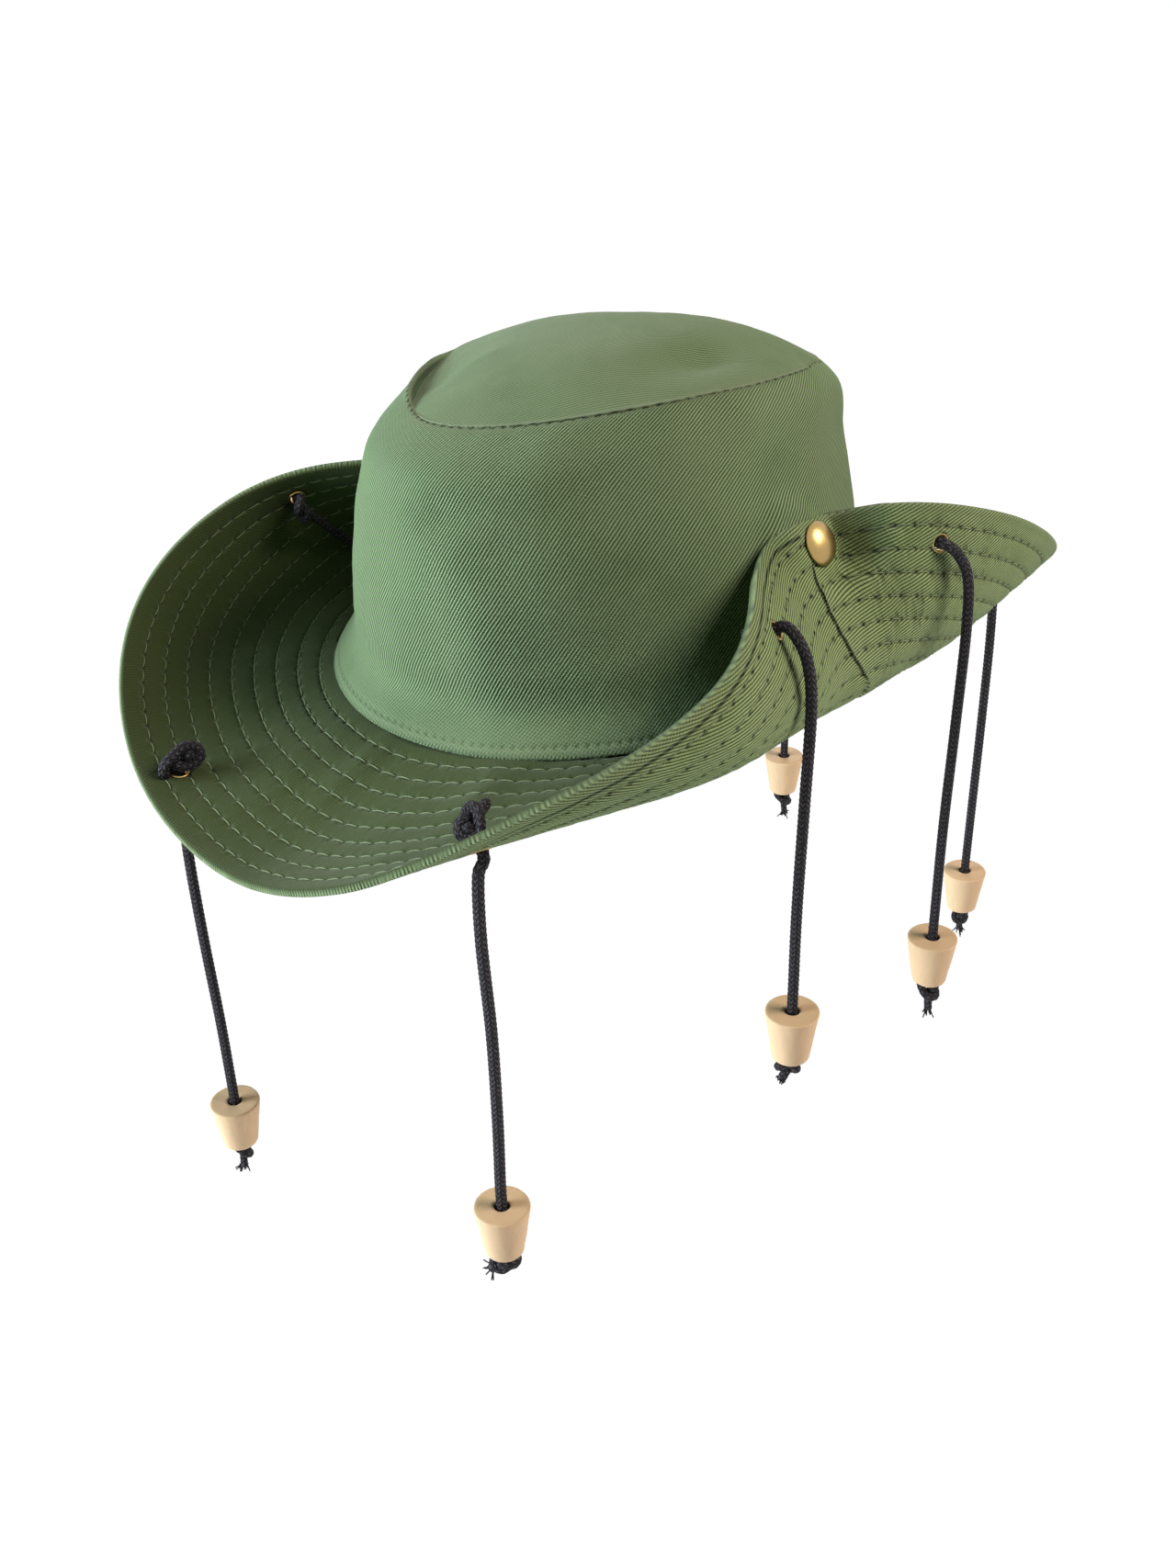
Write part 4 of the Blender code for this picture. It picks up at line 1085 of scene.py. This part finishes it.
def brim_faces(count):
    """Top face, underside, insets, flat turns, normals and angles of the quilted brim."""
    angles = brim_angles(count)
    insets = brim_insets()
    reaches = 1.0 - insets / BRIM_WIDTH
    middle = brim_points(angles, reaches)
    normals = -surface_normals(middle[:, ::-1])[:, ::-1]
    number = np.clip(np.round((insets - ROW_INSET) / ROW_SPACING), 0, ROW_COUNT - 1)
    off = insets - ROW_INSET - number * ROW_SPACING
    sink = ROW_SINK * (np.exp(-(off / 0.0010) ** 2) - 0.4)
    sink[insets < ROW_INSET - 0.002] = 0.0
    half = BRIM_THICKNESS / 2.0
    half = half * np.sqrt(np.clip(1.0 - (np.clip(0.0014 - insets, 0.0, None) / 0.0014) ** 2, 0.04, 1.0))
    uneven = 0.00022 * waves(middle, 70.0, 11) + 0.00022 * waves(middle, 230.0, 12)
    uneven -= dent_depth(BRIM_RIDGES, angles[:, None], reaches[None, :])
    ends = np.clip(insets / 0.01, 0.0, 1.0)
    crease = crease_offset(angles, insets)
    step = CREASE_RISE * np.exp(-np.clip(crease, 0.0, None) / 0.006) * (crease > 0.0)
    step = step * np.clip((0.80 - reaches) / 0.10, 0.0, 1.0) * np.clip((reaches - 0.05) / 0.10, 0.0, 1.0)
    faces = []
    for side in (1.0, -1.0):
        lift = side * (half - sink)[None, :] + uneven * ends[None, :]
        if side < 0.0:
            lift = lift - step
        faces.append(middle + normals * lift[..., None])
    return faces[0], faces[1], insets, cloth_turns(middle[:, 5:40]), normals, crease


def build_brim():
    top, under, insets, turns, _, crease = brim_faces(440)
    loop = np.concatenate([top, under[:, ::-1], top[:, :1]], axis=1)
    loop = np.concatenate([loop, loop[:1]], axis=0)
    inset = np.concatenate([insets, insets[::-1], insets[:1]])
    radius = CLOTH_EDGE_RADIUS - inset
    cloth = np.stack([np.cos(turns)[:, None] * radius, np.sin(turns)[:, None] * radius], -1)
    rows = np.stack(np.meshgrid(turns, inset, indexing="ij"), -1)
    crease = np.concatenate([crease, crease[:, ::-1], crease[:, :1]], axis=1)
    crease = np.concatenate([crease, crease[:1]], axis=0)
    top_face = np.concatenate([np.ones(len(insets)), np.zeros(len(insets)), [1.0]])
    faces = np.stack([crease, np.broadcast_to(top_face, crease.shape)], -1)
    wear = 0.60 * np.exp(-(inset / 0.0013) ** 2) + 0.10 * np.exp(-((inset - 0.0035) / 0.0025) ** 2)
    wear = np.broadcast_to(wear, loop.shape[:2])
    plain = np.broadcast_to(0.80 * top_face, loop.shape[:2])
    maps = {"cloth": cloth, "rows": rows, "faces": faces}
    brim = mapped_grid("brim_cloth", loop, maps, {"wear": wear, "plain": plain})
    cut_holes(brim)
    finish_piece(brim, material("brim cloth"), "brim_twill", "brim")


def cut_holes(brim):
    """Opens the brim under each eyelet and press stud."""
    clear_selection()
    cutters = []
    places = []
    for _, angle, _ in CORDS:
        middle, _, _, normal = eyelet_frame(angle)
        places.append((middle, normal, EYELET_HOLE_RADIUS))
    for middle, way in (snap_frame(1), snap_frame(-1)):
        places.append((Vector(middle), Vector(way), SNAP_HOLE_RADIUS))
    for middle, way, radius in places:
        bpy.ops.mesh.primitive_cylinder_add(vertices=24, radius=radius, depth=0.008)
        cutter = bpy.context.object
        cutter.data.transform(Matrix.Translation(middle) @ aim(way))
        cutters.append(cutter)
    clear_selection()
    for cutter in cutters:
        cutter.select_set(True)
    bpy.context.view_layer.objects.active = cutters[0]
    bpy.ops.object.join()
    cutter = bpy.context.object
    take(brim)
    hole = brim.modifiers.new("holes", "BOOLEAN")
    hole.operation = "DIFFERENCE"
    hole.solver = "EXACT"
    hole.object = cutter
    bpy.ops.object.modifier_apply(modifier="holes")
    bpy.data.objects.remove(cutter, do_unlink=True)


def stitch_shape():
    """Points and faces of one stitch before it is sized: a slim bead along X, one long and one across."""
    clear_selection()
    quarter = (0.0, math.pi / 2.0, 0.0)
    bpy.ops.mesh.primitive_uv_sphere_add(segments=5, ring_count=7, radius=0.5, rotation=quarter)
    bead = bpy.context.object
    bpy.ops.object.transform_apply(location=False, rotation=True, scale=False)
    mesh = bead.data
    points = np.array([vertex.co for vertex in mesh.vertices])
    faces = [tuple(face.vertices) for face in mesh.polygons]
    bpy.data.objects.remove(bead, do_unlink=True)
    return points, faces


def lay_stitches(name, middles, alongs, normals, lengths):
    """One mesh of stitches, each a copy of the bead laid along the cloth and bowed towards the edge."""
    bead, bead_faces = stitch_shape()
    sides = np.cross(normals, alongs)
    arch = 1.0 - (2.0 * bead[:, 0]) ** 2
    aside = bead[:, 1] * STITCH_RADIUS * 2.0 + arch * STITCH_BOW
    above = bead[:, 2] * STITCH_RADIUS * 2.0 + (arch - 0.5) * STITCH_RADIUS
    points = (
        middles[:, None] + alongs[:, None] * (bead[None, :, 0:1] * lengths[:, None, None])
        + sides[:, None] * aside[None, :, None] + normals[:, None] * above[None, :, None]
    ).reshape(-1, 3)
    faces = [tuple(i + k * len(bead) for i in face) for k in range(len(middles)) for face in bead_faces]
    mesh = bpy.data.meshes.new(name)
    mesh.from_pydata(points.tolist(), [], faces)
    thing = bpy.data.objects.new(name, mesh)
    bpy.context.scene.collection.objects.link(thing)
    take(thing)
    bpy.ops.object.shade_smooth()
    return thing


def stitch_places(line, normals, phases):
    """Middles, ways, normals and lengths of the stitches along a closed line, one between whole phases."""
    whole = np.arange(math.ceil(phases[0]), math.floor(phases[-1]))

    def between(share, values):
        return np.stack([np.interp(whole + share, phases, values[:, k]) for k in range(3)], -1)

    middle_normals = between(0.5, normals)
    middle_normals /= np.linalg.norm(middle_normals, axis=-1, keepdims=True)
    ways = between(0.95, line) - between(0.05, line)
    lengths = np.linalg.norm(ways, axis=-1)
    ways /= lengths[:, None]
    return between(0.5, line), ways, middle_normals, lengths


def build_stitches():
    top, under, insets, turns, normals, _ = brim_faces(440)
    for name, face, side in (("brim_stitches_top", top, 1.0), ("brim_stitches_under", under, -1.0)):
        gathered = []
        for row in range(ROW_COUNT):
            inset = ROW_INSET + ROW_SPACING * row
            column = int(np.argmin(np.abs(insets - inset)))
            line = np.concatenate([face[:, column], face[:1, column]])
            up = side * np.concatenate([normals[:, column], normals[:1, column]])
            radius = CLOTH_EDGE_RADIUS - inset
            phases = turns * radius / STITCH_LENGTH + row * ROW_SHIFT
            gathered.append(stitch_places(line + up * 0.00006, up, phases))
        stitches = lay_stitches(name, *(np.concatenate(parts) for parts in zip(*gathered)))
        finish_piece(stitches, material("sewing thread"), "brim_twill")


def tube(name, centres, radii, braid_start=0.0):
    """A braided tube along its ring centres, closed at both ends."""
    centres = np.asarray(centres, float)
    steps = np.linalg.norm(np.diff(centres, axis=0), axis=-1)
    lengths = np.concatenate([[0.0], np.cumsum(steps)]) + braid_start
    ways = np.gradient(centres, axis=0)
    ways /= np.linalg.norm(ways, axis=-1, keepdims=True)
    side = np.cross(ways[0], [0.3, 0.9, 0.1])
    sides = []
    for way in ways:
        side = side - way * (side @ way)
        side /= np.linalg.norm(side)
        sides.append(side)
    sides = np.array(sides)
    others = np.cross(ways, sides)
    turns = np.linspace(0.0, math.tau, CORD_SIDES + 1)
    wale = turns / math.tau * CORD_WALES
    side = np.abs(wale % 1.0 - 0.5)
    loops = side * 1.5 + np.floor(wale) * 0.31 + lengths[:, None] / CORD_LOOP
    strands = (0.5 + 0.5 * np.cos(loops * math.tau)) * (1.0 - 0.6 * (side / 0.5) ** 4)
    radius = np.asarray(radii)[:, None] * (0.93 + 0.10 * strands)
    ring = np.cos(turns)[None, :, None] * sides[:, None] + np.sin(turns)[None, :, None] * others[:, None]
    points = centres[:, None] + ring * radius[..., None]
    first = np.broadcast_to(centres[:1, None], (1, CORD_SIDES + 1, 3))
    last = np.broadcast_to(centres[-1:, None], (1, CORD_SIDES + 1, 3))
    points = np.concatenate([first, points, last], axis=0)
    points[:, -1] = points[:, 0]
    lengths = np.concatenate([lengths[:1], lengths, lengths[-1:]])
    braid = np.stack(np.meshgrid(lengths, turns / math.tau, indexing="ij")[::-1], -1)
    return mapped_grid(name, points, {"braid": braid})


def smooth_line(points, step):
    """Points a step apart along a smooth curve through the given points."""
    points = np.array([tuple(point) for point in points])
    ends = np.concatenate([[points[0] * 2.0 - points[1]], points, [points[-1] * 2.0 - points[-2]]])
    fine = []
    for a, b, c, d in zip(ends, ends[1:], ends[2:], ends[3:]):
        t = (np.arange(16) / 16.0)[:, None]
        fine.append(0.5 * (2.0 * b + (c - a) * t + (2.0 * a - 5.0 * b + 4.0 * c - d) * t * t
                           + (3.0 * b - a - 3.0 * c + d) * t ** 3))
    fine = np.concatenate(fine + [points[-1:]])
    lengths = np.concatenate([[0.0], np.cumsum(np.linalg.norm(np.diff(fine, axis=0), axis=-1))])
    count = max(2, round(lengths[-1] / step))
    at = np.linspace(0.0, lengths[-1], count + 1)
    return np.stack([np.interp(at, lengths, fine[:, k]) for k in range(3)], -1)


def eyelet_top():
    """Height of an eyelet's flange face above the middle of the brim cloth."""
    return BRIM_THICKNESS / 2.0 + EYELET_SEAT + EYELET_FLANGE


def cord_places(number, angle, cork_drop):
    """Points of a cord from the top of its eyelet down, and the middle of the cork's top face."""
    middle, out, around, normal = eyelet_frame(angle)
    points = [middle + normal * eyelet_top(), middle - normal * (eyelet_top() + CORD_LEAD)]
    for down, outward, aside in ROUTES[number]:
        points.append(middle + 0.001 * (out * outward + around * aside - Vector((0.0, 0.0, down))))
    plumb = points[-1]
    cork_top = Vector((plumb.x, plumb.y, middle.z - cork_drop))
    points.append(cork_top.copy())
    points.append(cork_top - Vector((0.0, 0.0, CORK_LENGTH)))
    return points, cork_top


def build_cords():
    for number, angle, cork_drop in CORDS:
        points, _ = cord_places(number, angle, cork_drop)
        centres = smooth_line(points, CORD_RING_STEP)
        radii = np.full(len(centres), CORD_DIAMETER / 2.0)
        cord = tube("cord_%d_braid" % number, centres, radii)
        finish_piece(cord, material("braided cord"), "black_cord", "cord_%d" % number)
        cord["centres"] = [float(value) for value in centres.ravel()]


def declare_cords():
    """Says of each cord what it is, once the pieces on it are made."""
    for number, _, _ in CORDS:
        cord = bpy.data.objects["cord_%d_braid" % number]
        del cord["centres"]


def build_corks():
    for number, angle, cork_drop in CORDS:
        _, cork_top = cord_places(number, angle, cork_drop)
        section = cork_section()
        points = revolved(section, CORK_SIDES) + np.array(cork_top)
        uneven = 0.00016 * waves(points, 130.0, number) + 0.00005 * waves(points, 600.0, number + 20)
        away = points - np.array([cork_top.x, cork_top.y, cork_top.z - CORK_LENGTH / 2.0])
        away /= np.linalg.norm(away, axis=-1, keepdims=True)
        points += away * uneven[..., None]
        points[-1] = points[0]
        points[:, -1] = points[:, 0]
        # The inside of the bore, which the material paints nearly black as painted shade.
        bore = np.broadcast_to((section[:, 0] < CORK_BORE_RADIUS + 0.0003).astype(float), points.shape[:2])
        # The flat ends, which the material darkens as painted shade.
        ends = (section[:, 1] > -0.0001) | (section[:, 1] < 0.0001 - CORK_LENGTH)
        ends = np.broadcast_to(ends.astype(float), points.shape[:2])
        cork = mapped_grid("cork_%d_turned" % number, points, None, {"bore": bore, "end": ends})
        finish_piece(cork, material("turned cork"), "cork_wood", "cork_%d" % number)


def cork_section():
    """Closed section of a cork as radius and height: bore, top with a soft edge, taper, rounded foot."""
    bore = CORK_BORE_RADIUS
    edge = CORK_EDGE_RADIUS
    flat = CORK_TOP_RADIUS - edge
    foot = CORK_FOOT_RADIUS + 0.0002
    rows = [(bore, -0.0012), (bore + 0.0001, -0.0004), (bore + 0.0006, 0.0)]
    rows += [(radius, 0.00002) for radius in np.linspace(0.0036, flat, 6)]
    for turn in np.linspace(0.25, math.pi / 2.0, 5):
        rows.append((flat + edge * math.sin(turn), edge * math.cos(turn) - edge))
    for share in np.linspace(0.08, 1.0, 14):
        radius = CORK_TOP_RADIUS + (foot - CORK_TOP_RADIUS) * share
        rows.append((radius, -edge - (CORK_LENGTH - 4.0 * edge) * share))
    rows += [
        (foot - 0.0017 * (1.0 - math.cos(turn)), -CORK_LENGTH + 0.0018 - 0.0018 * math.sin(turn))
        for turn in np.linspace(0.25, math.pi / 2.0, 6)
    ]
    rows += [(0.0034, -CORK_LENGTH), (bore + 0.0004, -CORK_LENGTH)]
    rows += [(bore, height) for height in np.linspace(-CORK_LENGTH + 0.0005, -0.0012, 8)]
    return np.array(rows)


def revolved(section, sides):
    """Points of a closed section of radius and height turned once about Z."""
    turns = np.linspace(0.0, math.tau, sides + 1)
    radius = section[None, :, 0]
    heights = np.broadcast_to(section[None, :, 1], (sides + 1, len(section)))
    points = np.stack([np.cos(turns)[:, None] * radius, np.sin(turns)[:, None] * radius, heights], -1)
    points[-1] = points[0]
    return points


def turned(name, section, sides, matrix):
    """A piece with a closed section of radius and height, turned about Z and put in place."""
    thing = mapped_grid(name, revolved(np.array(section), sides))
    move_mesh(thing, matrix)
    return thing


def build_eyelets():
    for number, angle, _ in CORDS:
        middle, _, _, normal = eyelet_frame(angle)
        section = EYELET_SECTION + EYELET_SECTION[:1]
        eyelet = turned("eyelet_%d_brass" % number, section, 40, Matrix.Translation(middle) @ aim(normal))
        finish_piece(eyelet, material("polished brass"), "brass", "eyelet_%d" % number)


def build_snaps():
    for side, name in ((1, "right"), (-1, "left")):
        middle, way = snap_frame(side)
        stud = turned("snap_%s_stud" % name, STUD_PROFILE, 48, Matrix.Translation(Vector(middle)) @ aim(way))
        finish_piece(stud, material("polished brass"), "brass", "snap_" + name)


def knot_line(size, stretch, tail):
    """Centre line of a knot in metres: in along +Z from below, round, and out along +Z with its tail."""
    first = np.array(KNOT_LINE)
    line = np.concatenate([first, (first * (-1.0, 1.0, -1.0))[::-1]]) * size
    line[:, 2] *= stretch
    if tail > 0.0:
        ways = np.linspace(0.35, 1.0, 4)[:, None] * np.array([[0.0, 0.0, tail]])
        line = np.concatenate([line, line[-1] + ways])
    return line


def build_knot(name, place, along, size, stretch, tail, turn, frayed, seed, *nodes):
    line = knot_line(size, stretch, tail)
    centres = smooth_line(line, 0.00055)
    radii = np.full(len(centres), size * 0.56)
    if not frayed:
        radii[-3:] *= (0.95, 0.8, 0.45)
    knot = tube(name, centres, radii, 0.001 * seed)
    matrix = Matrix.Translation(place) @ aim(along, turn)
    move_mesh(knot, matrix)
    if frayed:
        end = matrix @ Vector(centres[-1])
        fray(name, knot, end, Vector(along), size, tail, seed)
    finish_piece(knot, material("braided cord"), "black_cord", *nodes)
    return knot


def fray(name, knot, end, along, size, tail, seed):
    """Adds loose strands to the cut end of a cord."""
    chance = random.Random(seed)
    strands = []
    for strand in range(18):
        lean = Vector((chance.uniform(-1, 1), chance.uniform(-1, 1), chance.uniform(-1, 1)))
        lean -= along * lean.dot(along)
        start = end - along * 0.0016 + lean * size * 0.25
        reach = tail * chance.uniform(0.35, 0.75)
        middle = start + along * reach * 0.55 + lean * 0.0007
        tip = start + along * reach + lean * chance.uniform(0.0008, 0.0024)
        centres = smooth_line([start, middle, tip], 0.0012)
        strands.append(strand_mesh("%s_strand_%d" % (name, strand), centres, 0.00024))
    clear_selection()
    for strand in strands:
        strand.select_set(True)
    knot.select_set(True)
    bpy.context.view_layer.objects.active = knot
    bpy.ops.object.join()


def strand_mesh(name, centres, radius):
    ways = np.gradient(centres, axis=0)
    ways /= np.linalg.norm(ways, axis=-1, keepdims=True)
    sides = np.cross(ways, [0.2, 0.5, 0.8])
    sides /= np.linalg.norm(sides, axis=-1, keepdims=True)
    others = np.cross(ways, sides)
    turns = np.linspace(0.0, math.tau, 6)
    ring = np.cos(turns)[None, :, None] * sides[:, None] + np.sin(turns)[None, :, None] * others[:, None]
    points = centres[:, None] + ring * radius
    first = np.broadcast_to(centres[:1, None], (1, 6, 3))
    last = np.broadcast_to(centres[-1:, None] + ways[-1:, None] * radius, (1, 6, 3))
    points = np.concatenate([first, points, last], axis=0)
    points[:, -1] = points[:, 0]
    braid = np.zeros(points.shape[:2] + (2,))
    return mapped_grid(name, points, {"braid": braid})


def build_knots():
    angles = {row[0]: row for row in CORDS}
    for row in TOP_KNOTS:
        knot = dict(zip(TOP_KNOT_COLUMNS, row))
        number = knot["number"]
        middle, _, around, normal = eyelet_frame(angles[number][1])
        flat_out = -normal.cross(around)
        along = (flat_out * knot["out"] + around * knot["side"] + normal * knot["up"]).normalized()
        size = knot["size"]
        place = middle + normal * (eyelet_top() + size * 1.25)
        build_knot("knot_%d_tied" % number, place, along, size, knot["stretch"], knot["tail"], knot["turn"],
                   False, number, "knot_%d" % number)
    for row in STOP_KNOTS:
        knot = dict(zip(STOP_KNOT_COLUMNS, row))
        number = knot["number"]
        _, cork_top = cord_places(*angles[number])
        _, out, around, _ = eyelet_frame(angles[number][1])
        along = (out * knot["out"] + around * knot["side"] - Vector((0.0, 0.0, 1.0))).normalized()
        place = cork_top - Vector((0.0, 0.0, CORK_LENGTH + knot["size"] * 1.35))
        build_knot("stop_knot_%d_tied" % number, place, along, knot["size"], 1.0, knot["tail"], knot["turn"],
                   True, number + 10, "stop_knot_%d" % number)


def build_camera():
    azimuth, pitch, roll = (math.radians(value) for value in (CAMERA_AZIMUTH, CAMERA_PITCH, CAMERA_ROLL))
    right = Vector((math.cos(azimuth), math.sin(azimuth), 0.0))
    level = Vector((-math.sin(azimuth), math.cos(azimuth), 0.0))
    upright = Vector((0.0, 0.0, 1.0))
    ahead = level * math.cos(pitch) - upright * math.sin(pitch)
    up = level * math.sin(pitch) + upright * math.cos(pitch)
    x_axis = right * math.cos(roll) + up * math.sin(roll)
    y_axis = up * math.cos(roll) - right * math.sin(roll)
    clear_selection()
    bpy.ops.object.camera_add()
    camera = bpy.context.object
    camera.name = "photo_camera"
    camera.data.sensor_width = 36.0
    camera.data.lens = CAMERA_LENS
    camera.data.clip_start = 0.01
    turn = Matrix((x_axis, y_axis, -ahead)).transposed().to_4x4()
    camera.matrix_world = Matrix.Translation(Vector(CAMERA_PLACE)) @ turn
    bpy.context.scene.camera = camera


def add_light(name, place, target, size, power, colour=(1.0, 1.0, 1.0)):
    clear_selection()
    bpy.ops.object.light_add(type="AREA", location=place)
    light = bpy.context.object
    light.name = name
    light.data.size = size
    light.data.energy = power
    light.data.color = colour
    light.rotation_euler = (Vector(target) - Vector(place)).to_track_quat("-Z", "Y").to_euler()


def add_floor(name, height, emission):
    clear_selection()
    bpy.ops.mesh.primitive_plane_add(size=60.0, location=(0.0, 0.0, height))
    floor = bpy.context.object
    floor.name = name
    make = NodeMaker(name)
    coords = make.add("ShaderNodeTexCoord").outputs["Object"]
    tint = make.mix(make.noise(coords, 3.0), (0.93, 0.93, 0.93, 1.0), (0.95, 0.95, 0.95, 1.0))
    floor.data.materials.append(make.finish(
        tint, None, Roughness=0.9, Emission_Color=(1.0, 1.0, 1.0, 1.0), Emission_Strength=emission))
    return floor


def build_stage():
    """A white floor that the camera sees, its twin that lights the hat from below, and the soft lights."""
    seen = add_floor("floor", FLOOR_HEIGHT, 1.0)
    seen.visible_diffuse = False
    seen.visible_shadow = False
    lit = add_floor("floor_bounce", FLOOR_HEIGHT + 0.001, 0.0)
    lit.visible_camera = False
    lit.visible_glossy = False
    world = bpy.data.worlds.new("soft studio")
    bpy.context.scene.world = world
    world.use_nodes = True
    world.node_tree.nodes["Background"].inputs["Color"].default_value = (1.0, 1.0, 1.0, 1.0)
    world.node_tree.nodes["Background"].inputs["Strength"].default_value = 1.0
    world.cycles_visibility.diffuse = False
    bpy.context.scene.view_settings.view_transform = "Standard"
    for name, azimuth, elevation, power, colour in LIGHTS:
        azimuth, elevation = math.radians(azimuth), math.radians(elevation)
        level = Vector((math.cos(azimuth), math.sin(azimuth), 0.0)) * math.cos(elevation)
        way = level + Vector((0.0, 0.0, math.sin(elevation)))
        add_light(name, HAT_MIDDLE + way * LIGHT_DISTANCE, HAT_MIDDLE, LIGHT_SIZE, power, colour)


def colour_property(name, description, default):
    return bpy.props.FloatVectorProperty(
        name=name, description=description, subtype="COLOR", size=3, default=default, min=0.0, max=1.0)


class HatColours(bpy.types.PropertyGroup):
    """Colours of the hat's cloth, cord, corks and brass."""

    crown: colour_property("Crown cloth", "Green of the crown's twill", (0.153, 0.232, 0.108))
    brim: colour_property("Brim cloth", "Green of the brim's twill", (0.198, 0.280, 0.110))
    worn: colour_property("Worn edges", "Pale green of hems and faded patches", (0.270, 0.345, 0.200))
    thread: colour_property("Thread", "Colour of the stitching", (0.260, 0.330, 0.180))
    cord: colour_property("Cord", "Black of the braided cord", (0.010, 0.009, 0.011))
    fleck: colour_property("Cord flecks", "Light flecks of the braid", (0.150, 0.130, 0.165))
    cork: colour_property("Cork", "Tan of the corks", (0.780, 0.545, 0.310))
    brass: colour_property("Brass", "Colour of the studs and eyelets", (0.450, 0.310, 0.120))


def operator(name, label, doc, work):
    """An operator class for one piece or group of like pieces."""
    def execute(self, context):
        work()
        return {"FINISHED"}
    return type("HAT_OT_" + name, (bpy.types.Operator,), {
        "bl_idname": "cork_hat." + name, "bl_label": label, "__doc__": doc,
        "bl_options": {"REGISTER", "UNDO"}, "execute": execute,
    })


OPERATORS = (
    operator("camera", "Camera", "Add the camera of the photograph", build_camera),
    operator("cords", "Cords", "Add the eight braided cords", build_cords),
    operator("crown", "Crown", "Add the crown's wall and tip", build_crown),
    operator("brim", "Brim", "Add the quilted brim with its holes", build_brim),
    operator("stitches", "Stitches", "Add the rows of stitching on the brim", build_stitches),
    operator("snaps", "Press studs", "Add the two brass press studs", build_snaps),
    operator("eyelets", "Eyelets", "Add the brass eyelets", build_eyelets),
    operator("corks", "Corks", "Add the turned corks", build_corks),
    operator("knots", "Knots", "Tie the knots above the brim and under the corks", build_knots),
    operator("declare", "Declare cords", "Say what each cord is", declare_cords),
    operator("stage", "Stage", "Add the floor and the studio light", build_stage),
)


class HAT_PT_panel(bpy.types.Panel):
    """Lists the pieces of the hat in the sidebar."""

    bl_label = "Cork hat"
    bl_idname = "HAT_PT_panel"
    bl_space_type = "VIEW_3D"
    bl_region_type = "UI"
    bl_category = "Cork hat"

    def draw(self, context):
        for item in OPERATORS:
            self.layout.operator(item.bl_idname)
        look = context.scene.cork_hat_colours
        for name in HatColours.__annotations__:
            self.layout.prop(look, name)


CLASSES = (HatColours,) + OPERATORS + (HAT_PT_panel,)


def register():
    for item in CLASSES:
        bpy.utils.register_class(item)
    bpy.types.Scene.cork_hat_colours = bpy.props.PointerProperty(type=HatColours)


def unregister():
    del bpy.types.Scene.cork_hat_colours
    for item in reversed(CLASSES):
        bpy.utils.unregister_class(item)


def main():
    register()
    for item in OPERATORS:
        group, name = item.bl_idname.split(".")
        getattr(getattr(bpy.ops, group), name)()


if __name__ == "__main__":
    main()
